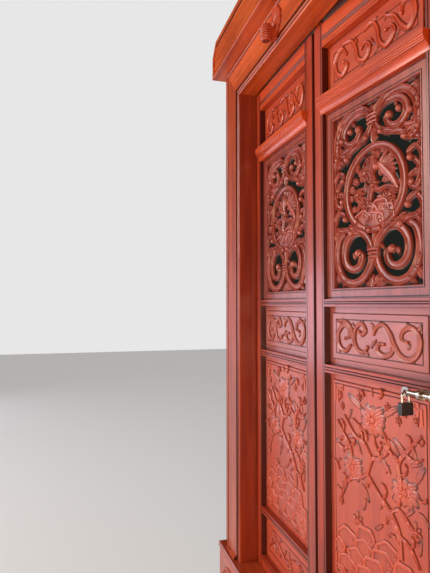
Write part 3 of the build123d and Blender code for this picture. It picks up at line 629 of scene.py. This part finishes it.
# The top panels: a raised field with a running scroll between two volutes in rounded
# relief, carved from a board held in the grooves.
panel_span = (0.0625, 0.5375)
tongue = 0.0076
board_back, board_front = 0.0348, 0.0252
field_front, carving_front = 0.0192, 0.0132
field_edge = 0.024


def fielded(carving, z_foot, z_head, line=0.018):
    """The board with its raised field and the line cut round it."""
    edge = field_edge
    groove = field_front + 0.0022
    carving.nested(panel_span, (z_foot, z_head),
                   ((-tongue, board_back), (-tongue, board_front), (0.0, board_front, "sunk"),
                    (0.003, board_front), (edge - 0.005, board_front),
                    (edge - 0.002, board_front, "sunk"), (edge - 0.001, board_front - 0.003),
                    (edge, field_front + 0.0008), (edge + 0.001, field_front),
                    (edge + line, field_front), (edge + line + 0.001, groove, "sunk"),
                    (edge + line + 0.003, groove, "sunk"), (edge + line + 0.004, field_front)))


def in_box(x_span, z_span):
    """A function that takes points in hundredths of a rectangle's sides to their places in it."""
    def place(*points):
        unit = np.asarray(points, float) / 100
        return np.column_stack([x_span[0] + (x_span[1] - x_span[0]) * unit[:, 0],
                                z_span[0] + (z_span[1] - z_span[0]) * unit[:, 1]])
    return place


cut_back = field_front + 0.0012
inner_span = (0.107, 0.493)


def scrollwork(carving, place, stems, leaves, ball, rise, count=None):
    """Stems that each end in a ball, and toothed leaf tips: places are in hundredths of a field's
    sides, widths and bends in millimetres."""
    for points, width in stems:
        line = place(*points)
        carving.stem(line, width / 1000, carving_front, cut_back, count=count or 10 + 5 * len(points))
        carving.ball(line[-1], ball, carving_front + rise)
    for root, tip, width, bend in leaves:
        carving.blade(*place(root, tip), width / 1000, carving_front + 0.001, cut_back,
                      bend=bend / 1000, teeth=2)


top_panel = Carving(ground=field_front, relief_depth=0.006)
fielded(top_panel, 1.968, 2.157)
at = in_box(inner_span, (2.003, 2.124))
# Each stem: its points in hundredths of the field's sides, and its width in millimetres
top_stems = (
    (((20, 60), (12, 86), (3, 62), (5, 26), (13, 10), (20, 30), (15, 46)), 18),
    (((14, 96), (25, 90), (31, 62), (34, 26), (43, 12), (49, 36), (44, 56), (39, 48)), 17),
    (((42, 90), (52, 96), (58, 70), (60, 34), (68, 10), (77, 30), (74, 52), (68, 50)), 17),
    (((68, 86), (77, 70), (84, 36), (92, 16), (98.5, 46), (95, 82), (87, 86), (85, 62)), 18),
)
# Each leaf: its root and tip likewise, and its width and bend in millimetres
top_leaves = (
    ((12, 84), (16, 102), 12, 2), ((34, 70), (30, 98), 14, 3), ((43, 12), (36, -2), 12, 2),
    ((52, 92), (60, 102), 13, 2), ((50, 60), (56, 30), 13, -3), ((66, 74), (70, 100), 13, 3),
    ((60, 34), (52, 6), 13, 3), ((84, 36), (78, 6), 13, -3),
)
scrollwork(top_panel, at, top_stems, top_leaves, ball=0.0062, rise=0.0028, count=40)
upright_carved = varnished("carved_timber_upright", carved_light, carved_deep, "z", carved=True, painted_sheen=0.11)
hang(top_panel, "top_panel", level_carved)

# The pierced panels: a deep border that holds open-work right through the board: a ring
# with a bird on flowering boughs above rocks, among volutes, balls, collars and leaves.
pierced_foot, pierced_head = 1.243, 1.910
border = 0.038
pierced_front = 0.0150
open_front = 0.0175
open_back = 0.0340
pierced = Carving(ground=open_back, relief_depth=0.017)
pierced.nested(panel_span, (pierced_foot, pierced_head),
               ((-tongue, board_front), (0.0, board_front), (0.0, pierced_front + 0.001),
                (0.001, pierced_front), (0.004, pierced_front),
                (0.005, pierced_front + 0.002, "sunk"), (0.007, pierced_front + 0.002, "sunk"),
                (0.008, pierced_front), (border - 0.010, pierced_front),
                (border - 0.009, pierced_front + 0.0018, "sunk"),
                (border - 0.007, pierced_front + 0.0018, "sunk"), (border - 0.006, pierced_front),
                (border - 0.003, pierced_front), (border, pierced_front + 0.003), (border, board_back),
                (-tongue, board_back)), hoop=True)
middle = 0.300
ring_height = 1.593
ring_outer = 0.143
ring_width = 0.023
turn = np.radians(np.linspace(0, 360, 72, endpoint=False))
radial = np.column_stack([np.cos(turn), np.sin(turn)])
ring_line = np.array([middle, ring_height]) + (ring_outer - ring_width / 2) * radial
ring_half = ring_width / 2 * rimmed[:, 0]
pierced.skin(np.stack([ring_line[:, :1] + radial[:, :1] * ring_half,
                       open_back + (pierced_front + 0.0005 - open_back) * rimmed[:, 1] + 0 * turn[:, None],
                       ring_line[:, 1:] + radial[:, 1:] * ring_half], axis=-1), hoop=True,
             relief=np.tile(rimmed[:, 1], len(turn)))
upper_collar, lower_collar = 1.817, 1.388
# Each strand: its points outwards from the panel's middle line, its width and how far back it
# lies, in millimetres, and how full its tips are
strands = (
    # the great scrolls that leave the lower collar, and the volutes within them
    (((8, 1392), (18, 1350), (52, 1310), (100, 1294), (148, 1308), (178, 1350), (186, 1402),
      (172, 1446), (142, 1466)), 24, 0, (0.8, 0.5)),
    (((8, 1392), (26, 1434), (66, 1460), (114, 1452), (144, 1412), (138, 1364), (104, 1340), (70, 1350),
      (56, 1380), (70, 1394)), 22, -1, (0.8, 0.5)),
    (((198, 1494), (160, 1474), (110, 1476), (60, 1462), (24, 1428), (6, 1394)), 17, 1, (0.5, 0.8)),
    (((198, 1406), (194, 1450), (174, 1476), (142, 1478), (118, 1466)), 16, 2, (0.7, 0.5)),
    (((199, 1470), (196, 1512), (176, 1538), (150, 1532), (144, 1518)), 15, 1, (0.7, 0.5)),
    # the curls beside the ring
    (((199, 1640), (194, 1596), (178, 1562), (160, 1562), (158, 1576)), 15, 1, (0.7, 0.5)),
    (((199, 1560), (188, 1612), (168, 1640), (150, 1650)), 14, 3, (0.7, 0.4)),
    (((199, 1610), (196, 1650), (176, 1676), (150, 1668), (152, 1650)), 14, 2, (0.7, 0.5)),
    (((199, 1676), (192, 1714), (168, 1734), (142, 1730), (134, 1720)), 15, 1, (0.7, 0.5)),
    # the arches that leave the upper collar, and the volutes within them
    (((8, 1812), (22, 1842), (60, 1864), (108, 1865), (152, 1846), (180, 1806), (186, 1760),
      (176, 1722), (150, 1706)), 23, 0, (0.8, 0.5)),
    (((8, 1812), (30, 1838), (68, 1848), (112, 1840), (142, 1812), (138, 1778), (110, 1760), (78, 1768),
      (62, 1790), (68, 1802)), 21, -1, (0.8, 0.5)),
    (((5, 1812), (22, 1778), (64, 1754), (112, 1738), (152, 1712), (198, 1694)), 18, 1, (0.8, 0.5)),
    (((60, 1758), (112, 1754), (156, 1746), (198, 1752)), 15, 3, (0.6, 0.4)),
    (((199, 1846), (192, 1806), (174, 1780), (156, 1784)), 14, 2, (0.7, 0.5)),
)
# Each ball: its place and its radius in millimetres
scroll_balls = (
    (77, 1392, 14.5), (112, 1463, 11.5), (142, 1514, 11.5), (158, 1577, 10.5), (153, 1648, 10.5),
    (132, 1717, 11.5), (70, 1801, 14), (112, 1806, 11), (155, 1787, 11.5), (24, 1462, 9),
    (185, 1730, 9), (34, 1762, 9),
)

# Each leaf: its root, its tip, its width and its bend in millimetres
scroll_leaves = (
    ((160, 1338), (199, 1284), 34, 6), ((138, 1312), (176, 1282), 22, -4),
    ((182, 1376), (200, 1330), 24, -4), ((3, 1284), (60, 1286), 26, 4), ((2, 1284), (42, 1312), 22, 2),
    ((0, 1282), (18, 1330), 22, 0), ((98, 1398), (96, 1366), 16, 2), ((20, 1420), (40, 1386), 14, 3),
    ((94, 1470), (140, 1496), 20, 4), ((168, 1474), (198, 1446), 22, 4),
    ((142, 1593), (200, 1606), 28, 4), ((172, 1536), (200, 1560), 20, 3),
    ((150, 1560), (146, 1616), 16, 3), ((170, 1668), (200, 1690), 20, 3),
    ((108, 1736), (146, 1694), 22, 5), ((156, 1748), (198, 1776), 22, 4),
    ((148, 1846), (199, 1871), 36, -6), ((172, 1816), (200, 1846), 24, 4),
    ((4, 1838), (20, 1871), 22, 2), ((34, 1856), (52, 1871), 16, 2), ((98, 1838), (92, 1812), 16, 2),
    ((20, 1776), (62, 1738), 20, 3),
)

strand_fullness = 1.14
for side in (-1, 1):
    for points, width, setback, tips in strands:
        line = [(middle + side * x / 1000, z / 1000) for x, z in points]
        pierced.stem(line, strand_fullness * (width / 1000), open_front + setback / 1000, open_back,
                     count=12 + 5 * len(points), profile=rimmed, tips=tips)
    for x, z, radius in np.array(scroll_balls) / 1000:
        pierced.ball((middle + side * x, z), radius, open_front + 0.6 * radius)
    for root, tip, width, bend in scroll_leaves:
        ends = [(middle + side * x / 1000, z / 1000) for x, z in (root, tip)]
        pierced.blade(*ends, width / 1000, open_front + 0.001, open_back, bend=side * bend / 1000, teeth=3)
# Collars above and below the ring, each bound with three reeds
for collar in (upper_collar, lower_collar):
    for offset in (-0.012, 0.0, 0.012):
        bow = np.linspace(-0.023, 0.023, 12)
        reed = np.column_stack([middle + bow, collar + offset - 5.0 * bow ** 2])
        pierced.strand(reed, 0.0105, open_front - 0.0025, open_back, rounded)
for foot, collar, width in ((ring_height + ring_outer - 0.008, upper_collar, 0.036),
                            (ring_height - ring_outer + 0.008, lower_collar, 0.034)):
    pierced.blade((middle, foot), (middle, collar), width, open_front, open_back, teeth=3)
# Inside the ring: rocks at its foot, a bent trunk with boughs, blossoms and a bird
reach = ring_outer - ring_width


def inside(*points):
    """Places given in hundredths of the ring's inner radius, from its middle."""
    return [(middle + reach * (x / 100), ring_height + reach * (z / 100)) for x, z in points]


def reached(start, lean, length):
    """The point a length away from a start: its cosine and sine steps at a lean in degrees."""
    angle = math.radians(lean)
    return start[0] + length * math.cos(angle), start[1] + length * math.sin(angle)


# Sizes inside the ring are in hundredths of its radius, widths and blossoms in millimetres
ring_rocks = (
    (-44, -78, 34, 26), (0, -92, 42, 32), (42, -76, 36, 32), (-14, -66, 30, 24), (24, -58, 34, 28),
)
for x, z, wide, tall in ring_rocks:
    pierced.mound(inside((x, z))[0], reach * (wide / 100), reach * (tall / 100),
                  open_front + 0.002, open_back)
ring_boughs = (
    (((10, -56), (-16, -40), (-14, -10), (-2, 16), (-8, 46), (2, 98)), 24),
    (((-14, -30), (-42, -22), (-62, -2), (-100, 10)), 17),
    (((-8, 2), (20, -10), (52, -8), (100, -26)), 18),
    (((-4, 30), (-32, 34), (-56, 54), (-76, 66)), 15),
    (((30, -8), (56, -34), (84, -54)), 13),
    (((-40, -24), (-62, -46), (-86, -50)), 13),
    (((-2, 44), (30, 66), (54, 86)), 14),
)
for points, width in ring_boughs:
    pierced.stem(inside(*points), width / 1000, open_front + 0.001, open_back - 0.002,
                 count=28, tips=(0.9, 0.6))
ring_blossoms = (
    (-32, 46, 44, 9, 10), (-62, -8, 34, 8, 40), (62, -30, 32, 8, 0), (2, 80, 28, 8, 25),
    (-2, 6, 28, 8, 15), (-34, -44, 26, 7, 30),
)
for x, z, size, petals, turned in ring_blossoms:
    pierced.flower(inside((x, z))[0], size / 1000, open_front - 0.001, open_back - 0.004,
                   petals=petals, turn=turned, pointed=0.8)
ring_leaves = (
    (-60, 26, 150, 38), (-80, 20, 200, 28), (-28, 20, 240, 34), (-30, -34, 215, 30), (22, 26, 60, 32),
    (34, -16, 300, 34), (86, -10, 20, 26), (10, -26, 330, 36), (-60, 62, 120, 32), (10, 74, 70, 30),
    (40, 84, 110, 26), (-86, -6, 190, 22), (-44, -26, 260, 30), (70, -50, 320, 28), (30, 10, 10, 34),
    (62, 62, 60, 26), (-16, 72, 130, 30), (50, -44, 20, 30), (-72, -40, 190, 26), (0, 44, 40, 28),
)
for x, z, lean, size in ring_leaves:
    root, = inside((x, z))
    tip = reached(root, lean, reach * (size / 100))
    pierced.blade(root, tip, reach * 0.23, open_front + 0.002, open_back - 0.003, bend=0.003, teeth=3)
bird_body = inside((10, 52), (24, 56), (40, 40), (60, 20), (78, -2), (90, -20))
bird_width = 0.034 * np.sin(np.linspace(0.5, 2.9, 30))
pierced.strand(smooth_line(bird_body, 30), bird_width, open_front - 0.001, open_back - 0.004, rounded)
pierced.ball(inside((14, 54))[0], 0.0135, open_front + 0.005)
pierced.blade(*inside((10, 54), (-4, 50)), 0.008, open_front + 0.004, open_back - 0.006, hollow=0.0)
for i in range(7):
    root, = inside((30 + 3 * i, 46 - 3 * i))
    tip = reached(root, 62 - 17 * i, reach * (0.56 - 0.035 * i))
    pierced.blade(root, tip, 0.018, open_front - 0.0015 + 0.0006 * i, open_back - 0.006, bend=0.004)
# The pierced panels take a darker copy of the carved timber: painted shade for the shadowed open-work.
shaded_pierced_light = (0.34, 0.058, 0.034)
shaded_pierced_deep = (0.19, 0.026, 0.016)
shaded_pierced_timber = varnished("shaded_pierced_timber", shaded_pierced_light, shaded_pierced_deep, "z", carved=True)
hang(pierced, "pierced_panel", shaded_pierced_timber)

# The middle panels: a raised field with a line cut round it, and in it two volutes and
# a long running scroll with leaf tips, in rounded relief.
middle_panel = Carving(ground=field_front, relief_depth=0.006)
fielded(middle_panel, 1.013, 1.217)
at = in_box(inner_span, (1.064, 1.168))
# Each stem: its points in hundredths of the field's sides, and its width in millimetres
middle_stems = (
    (((21, 26), (14, 4), (5, 20), (3, 56), (10, 86), (18, 76), (19, 52), (13, 44)), 17),
    (((2, 100), (12, 100), (20, 84), (24, 50), (29, 14), (38, 6), (42, 24)), 17),
    (((25.5, 42), (27, 76), (34, 94), (39.5, 74), (35, 60), (32, 70)), 16),
    (((49, 62), (53, 86), (61, 94), (68, 70), (72, 40), (79, 10), (88, 2), (96, 24), (98, 62), (91, 90),
      (82, 80), (80, 58), (86, 50)), 18),
    (((71, 48), (70, 18), (62, 4), (54, 16), (55, 36), (61, 38)), 16),
)
# Each leaf: its root and tip likewise, and its width and bend in millimetres
middle_leaves = (
    ((10, 86), (2, 105), 12, 2), ((27, 76), (23, 102), 13, 3), ((33, 92), (38, 108), 13, -2),
    ((38, 8), (45, -6), 14, 2), ((46, 100), (50, 62), 15, 4), ((53, 50), (46, 14), 13, -4),
    ((60, 90), (56, 108), 12, 2), ((62, 6), (58, -8), 13, 2), ((70, 40), (66, 2), 14, 3),
    ((92, 88), (84, 108), 14, 3), ((95, 80), (100, 106), 14, -3), ((87, 4), (94, -8), 14, 2),
    ((86, 28), (90, 48), 12, 2), ((7, 14), (3, -6), 12, 2),
)
scrollwork(middle_panel, at, middle_stems, middle_leaves, ball=0.0058, rise=0.0026)
# The middle panels take a pinker, darker copy of the carved timber, whose pink is a painted sheen.
sheen_middle_carved = varnished("middle_panel_painted_sheen_timber", (0.38, 0.054, 0.018), (0.28, 0.032, 0.011), "x", carved=True,
                          painted_sheen=0.11)
hang(middle_panel, "middle_panel", sheen_middle_carved)

# The tall panels: flowering boughs that rise from scalloped rocks, in low relief on a
# raised field, with a key-fret corner at each end of the line round it.
tall_panel = Carving(ground=field_front, relief_depth=0.006)
fielded(tall_panel, 0.281, 0.985, line=0.008)
fret_pitch = 0.0084
fret = fret_pitch * np.array([(0, 0), (0, 7), (1.8, 7), (1.8, 1.8), (5, 1.8), (5, 0), (3.4, 0), (3.4, 4.4),
                              (4.6, 4.4)])
fret_corners = ((0.099, 0.949, 1, -1), (0.501, 0.949, -1, -1), (0.099, 0.317, 1, 1), (0.501, 0.317, -1, 1))
for x, z, flip_x, flip_z in fret_corners:
    line = np.column_stack([x + flip_x * fret[:, 0], z + flip_z * fret[:, 1]])
    tall_panel.strand(line, 0.0068, field_front - 0.0035, cut_back, squared, sharp=True)
# Places, widths and lengths are in millimetres, and leans in degrees
boughs = (
    (((402, 490), (394, 560), (362, 606), (304, 648), (262, 690)), 21),
    (((360, 610), (400, 628), (440, 600), (467, 570)), 12),
    (((262, 690), (235, 672), (205, 660), (160, 634), (122, 552)), 12),
    (((262, 690), (285, 742), (322, 754), (298, 790), (287, 840)), 14),
    (((318, 752), (356, 790), (338, 838)), 11),
    (((285, 742), (246, 786), (205, 796), (150, 852)), 12),
    (((395, 640), (408, 700), (398, 760), (432, 806), (486, 862)), 14),
    (((400, 760), (352, 796), (330, 800)), 10),
    (((194, 687), (178, 756), (146, 790), (112, 828)), 11),
    (((178, 756), (150, 740), (116, 752)), 9),
    (((420, 800), (462, 786), (490, 800)), 9),
    (((246, 786), (232, 824), (196, 850)), 9),
    (((392, 560), (440, 540), (474, 496)), 11),
)
for points, width in boughs:
    bough = np.array(points) / 1000
    breadth = width / 1000
    tall_panel.stem(bough, breadth, carving_front, cut_back, count=24, tips=(0.9, 0.4))
    for part in (0.3, 0.62):
        knot = smooth_line(bough, 24)[int(24 * part)]
        tall_panel.ball(knot, 0.62 * breadth, carving_front + 0.45 * breadth, rings=5, around=9)
twigs = (
    (262, 792, 110, 46), (222, 800, 60, 40), (304, 776, 35, 36), (178, 760, 30, 36),
    (162, 768, 170, 34), (146, 800, 100, 38), (120, 660, 130, 44), (140, 622, 60, 36),
    (404, 730, 40, 44), (400, 752, 115, 40), (440, 812, 80, 42), (466, 838, 10, 30), (336, 640, 80, 44),
    (380, 590, 190, 40), (398, 530, 150, 42), (440, 540, 60, 36), (286, 668, 200, 30),
    (250, 930, 130, 30), (320, 936, 60, 32), (426, 900, 110, 30), (120, 900, 60, 30),
    (470, 690, 350, 32), (352, 790, 60, 34), (160, 640, 20, 30),
)
for x, z, lean, length in np.array(twigs) / (1000, 1000, 1, 1000):
    ends = [reached((x, z), lean + bend, part * length)
            for part, bend in ((0.0, 0), (0.5, -14), (0.85, 6), (1.0, 24))]
    tall_panel.stem(ends, 0.0085, carving_front, cut_back, count=12, tips=(0.9, 0.25))
    tall_panel.ball(ends[1], 0.0048, carving_front + 0.0016, rings=4, around=7)
blossoms = (
    (290, 862, 78, 11, 12), (192, 688, 66, 10, 40), (420, 686, 70, 10, 0),
)
for x, z, size, petals, turned in blossoms:
    tall_panel.flower((x / 1000, z / 1000), size / 1000, carving_front, cut_back, petals=petals,
                      turn=turned, squash=0.80, pointed=0.75)
small_blossoms = (
    (216, 526, 34), (462, 592, 32), (356, 914, 19), (400, 886, 18), (228, 924, 17), (140, 880, 16),
    (470, 900, 17), (130, 560, 18),
)
for x, z, size in np.array(small_blossoms) / 1000:
    tall_panel.flower((x, z), size, carving_front, cut_back, petals=6, turn=30)
tall_leaves = (
    (240, 890, 150, 94), (340, 884, 30, 86), (350, 822, 318, 84), (150, 726, 140, 70),
    (236, 652, 300, 72), (158, 646, 245, 78), (366, 722, 135, 82), (464, 722, 58, 78),
    (472, 652, 320, 58), (424, 806, 150, 64), (448, 830, 285, 66), (205, 800, 200, 58),
    (290, 936, 95, 30), (424, 620, 40, 52), (300, 650, 330, 52), (236, 742, 120, 58),
    (474, 530, 80, 58), (216, 500, 250, 46), (136, 596, 165, 40), (440, 766, 20, 60),
    (130, 700, 200, 40), (250, 610, 255, 52), (330, 560, 215, 56), (170, 840, 60, 50),
    (344, 716, 60, 40), (320, 600, 70, 50),
)
for x, z, lean, length in np.array(tall_leaves) / (1000, 1000, 1, 1000):
    tall_panel.blade((x, z), reached((x, z), lean, length), 0.27 * length, carving_front + 0.0008,
                     cut_back, bend=0.06 * length, teeth=4)
# Rocks like banked clouds, each lower row in front of the one above
rock_rows = (
    (482, (250, 350)), (446, (160, 244, 330, 416)), (402, (122, 206, 292, 378, 462)),
    (362, (160, 250, 338, 424, 482)), (330, (126, 206, 296, 384, 462)),
)
for row, (height, places) in enumerate(rock_rows):
    for i, x in enumerate(np.array(places) / 1000):
        wide = min(0.050 + 0.006 * math.sin(3 * i + row), x - 0.094, 0.506 - x)
        tall = 0.034 + 0.004 * math.cos(2 * i + row) if row < 4 else 0.016
        tall_panel.mound((x, height / 1000), wide, tall, carving_front + 0.0012 - 0.0003 * row, cut_back)
hang(tall_panel, "tall_panel", upright_carved)

# The bottom panels: a spray of long leaves and buds across a raised field, carved in low
# relief from a board held in the grooves.
bottom_panel = Carving(ground=field_front, relief_depth=0.006)
fielded(bottom_panel, 0.057, 0.254)
at = in_box(inner_span, (0.098, 0.213))
# Each stem: its points in hundredths of the field's sides, and its width in millimetres
bottom_stems = (
    (((2, 20), (25, 70), (50, 40), (75, 75), (98, 30)), 11),
    (((25, 62), (16, 92), (8, 74)), 9),
    (((60, 52), (66, 12), (78, 14)), 9),
)
for points, width in bottom_stems:
    bottom_panel.stem(at(*points), width / 1000, carving_front + 0.0005, cut_back, count=30)
# Each leaf: its root likewise, its lean in degrees and its length in millimetres
bottom_leaves = (
    (8, 32, 70, 70), (16, 52, 300, 74), (26, 66, 40, 78), (36, 56, 250, 66), (44, 44, 60, 78),
    (52, 42, 290, 56), (62, 54, 110, 62), (70, 66, 20, 76), (80, 66, 260, 78), (90, 46, 80, 64),
    (30, 60, 200, 56), (86, 56, 330, 50),
)
for x, z, lean, length in np.array(bottom_leaves) / (1, 1, 1, 1000):
    first, = at((x, z))
    angle = math.radians(lean)
    tip = (first[0] + length * math.cos(angle), first[1] + 0.7 * length * math.sin(angle))
    bottom_panel.blade(first, tip, 0.014, carving_front + 0.001, cut_back, bend=0.005)
for centre in at((20, 78), (56, 30), (84, 74)):
    bottom_panel.flower(centre, 0.022, carving_front + 0.001, cut_back, petals=7, turn=20)
hang(bottom_panel, "bottom_panel", level_carved)

# The bolt, its two plates and the padlock's shackle: bright drawn steel, with a turned sheen
# and fine rubbing marks from years of sliding.
steel = Finish("bright_steel", Metallic=1.0)
rub = steel.noise((90.0, 500.0, 500.0))
smear = steel.noise((40.0, 40.0, 40.0), detail=3.0)
# The darker, warm brown tone that the smear noise mixes in is partly a painted reflection of the wood round
# the steel.
steel.shade(Base_Color=steel.between((0.36, 0.32, 0.27), (0.66, 0.63, 0.60), smear),
            Roughness=0.10 + 0.14 * rub + 0.08 * smear, Normal=steel.bump(0.08, 0.0003, rub))
for node in ("bolt_plate", "bolt_bar", "keeper_plate", "padlock_shackle"):
    coat(node, steel.material)

# The plates' screws: domed steel heads with a cross cut, four to a plate, that hold the
# plates to the two meeting stiles.
head_radius, head_rise = 0.0038, 0.0013
plate_face = -0.003
for index, across in ((1, (0.5575, 0.5805)), (2, (0.5720, 0.5915))):
    heads = Carving(ground=plate_face, relief_depth=head_rise)
    for u in across:
        for z in (0.9725, 1.0075):
            # A half ellipse over the radius, less a cross where the nearer axis is close
            share = np.array([1.0, 1.0, 0.92, 0.75, 0.56, 0.40, 0.24, 0.08])[:, None]
            turn = np.linspace(0, 2 * np.pi, 32, endpoint=False)[None, :]
            x = head_radius * share * np.cos(turn)
            up = head_radius * share * np.sin(turn)
            cross = np.exp(-(np.minimum(np.abs(x), np.abs(up)) / 0.0005) ** 4) * (share < 0.7)
            y = plate_face - head_rise * np.sqrt(1 - share ** 2) + 0.0007 * cross
            y[0] = plate_face + 0.0006
            heads.skin(np.stack([u + x, y, z + up], axis=-1))
    screws = heads.make(f"leaf_{index + 1}_plate_screws", steel.material, in_leaf(index), flipped=index > 1)
    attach(screws, f"leaf_{index + 1}")

# The padlock's case: a steel block bored for its shackle, under a thin coat of black enamel
# that is a little worn.
enamel = Finish("black_enamel", Coat_Roughness=0.12)
fleck = enamel.noise((700.0, 700.0, 700.0), detail=3.0)
wear = enamel.noise((60.0, 60.0, 60.0))
enamel.shade(Base_Color=enamel.between((0.010, 0.010, 0.011), (0.034, 0.034, 0.036), wear),
             Roughness=0.30 + 0.20 * wear, Coat_Weight=0.3 * wear,
             Normal=enamel.bump(0.12, 0.0003, fleck))
coat("padlock_body", enamel.material)

# The floor and the light: a pale matt floor, and four soft lamps: one in front of the door,
# a warm one at its right, a cool one at its left and a warm one near the floor.
floor_mesh = bpy.data.meshes.new("floor")
half_floor = 14.0
floor_corners = [(half_floor * x, half_floor * y, 0) for x, y in ((-1, -1), (1, -1), (1, 1), (-1, 1))]
floor_mesh.from_pydata(floor_corners, [], [(0, 1, 2, 3)])
floor = bpy.data.objects.new("floor", floor_mesh)
bpy.context.scene.collection.objects.link(floor)
pale = Finish("pale_floor", Base_Color=(0.80, 0.79, 0.77, 1.0), Roughness=0.85)
looked_at = [pale.node("ShaderNodeLightPath", output=ray) for ray in ("Is Camera Ray", "Is Glossy Ray")]
glow = pale.node("ShaderNodeEmission", {}, {"Color": (0.86, 0.84, 0.82, 1.0)})
bare = Value(pale, pale.shader.outputs[0])
mixed = pale.node("ShaderNodeMixShader", {}, {0: 0.45 * pale.math("MAXIMUM", *looked_at), 1: bare, 2: glow})
pale.join(mixed, pale.tree.nodes["Material Output"].inputs["Surface"])
floor_mesh.materials.append(pale.material)


def lamp(name, place, target, size, power, colour):
    """A soft rectangular lamp that faces a target."""
    data = bpy.data.lights.new(name, "AREA")
    data.shape = "RECTANGLE"
    data.size, data.size_y = size
    data.energy = power
    data.color = colour
    made = bpy.data.objects.new(name, data)
    bpy.context.scene.collection.objects.link(made)
    made.location = place
    made.visible_camera = False
    aim = np.subtract(target, place)
    made.rotation_euler = (math.acos(-aim[2] / np.linalg.norm(aim)), 0.0,
                           math.atan2(aim[1], aim[0]) - math.pi / 2)


lamp("front_lamp", (-2.2, -4.8, 3.2), (0.0, 0.0, 1.3), (2.4, 2.2), 185.0, (1.0, 0.96, 0.90))
lamp("right_lamp", (3.6, -1.3, 1.1), (-1.2, 0.0, 1.3), (1.5, 2.0), 60.0, (1.0, 0.74, 0.52))
lamp("side_lamp", (-5.6, -4.6, 1.20), (-0.4, 0.0, 1.2), (4.2, 1.6), 90.0, (0.82, 0.78, 1.0))
lamp("foot_lamp", (0.9, -2.2, 0.10), (-0.6, 0.0, 2.3), (3.0, 1.2), 74.0, (1.0, 0.70, 0.44))


class Surroundings(Finish):
    """The world's nodes, which are joined in the same way as a finish's."""

    def __init__(self, world):
        self.tree = world.node_tree


world = bpy.data.worlds.new("surroundings")
bpy.context.scene.world = world
world.use_nodes = True
around = Surroundings(world)
direction = around.node("ShaderNodeTexCoord")
rightward, inward, upward = (around.part(direction, axis) for axis in "XYZ")
camera_ray, glossy_ray, through_ray = (around.node("ShaderNodeLightPath", output=ray)
                                       for ray in ("Is Camera Ray", "Is Glossy Ray", "Is Transmission Ray"))
# The backdrop is dark only behind the pierced panels, as seen from the view's side: painted shade for the
# unlit room behind the door
room_shade_part = around.ramp(inward, 0.29, 0.37) * around.ramp(0 - rightward, 0.45, 0.70)
backdrop = around.between((0.80, 0.80, 0.80), (0.014, 0.016, 0.013), room_shade_part)
# Reflections in the varnish find a dim warm tone all round, except low down in front
warm_part = around.math("MAXIMUM", around.ramp(upward, 0.08, 0.36), around.ramp(inward, -0.46, -0.26))
backdrop = around.between(backdrop, (0.14, 0.040, 0.016), warm_part * glossy_ray)
shown = around.node("ShaderNodeBackground", {}, {"Color": backdrop})
light = around.node("ShaderNodeBackground", {}, {"Color": (0.95, 0.97, 1.0, 1.0), "Strength": 0.15})
looked_at = around.math("MAXIMUM", around.math("MAXIMUM", camera_ray, glossy_ray), through_ray)
mixed = around.node("ShaderNodeMixShader", {}, {0: looked_at, 1: light, 2: shown})
around.join(mixed, around.tree.nodes["World Output"].inputs["Surface"])
bpy.context.scene.view_settings.view_transform = "Standard"
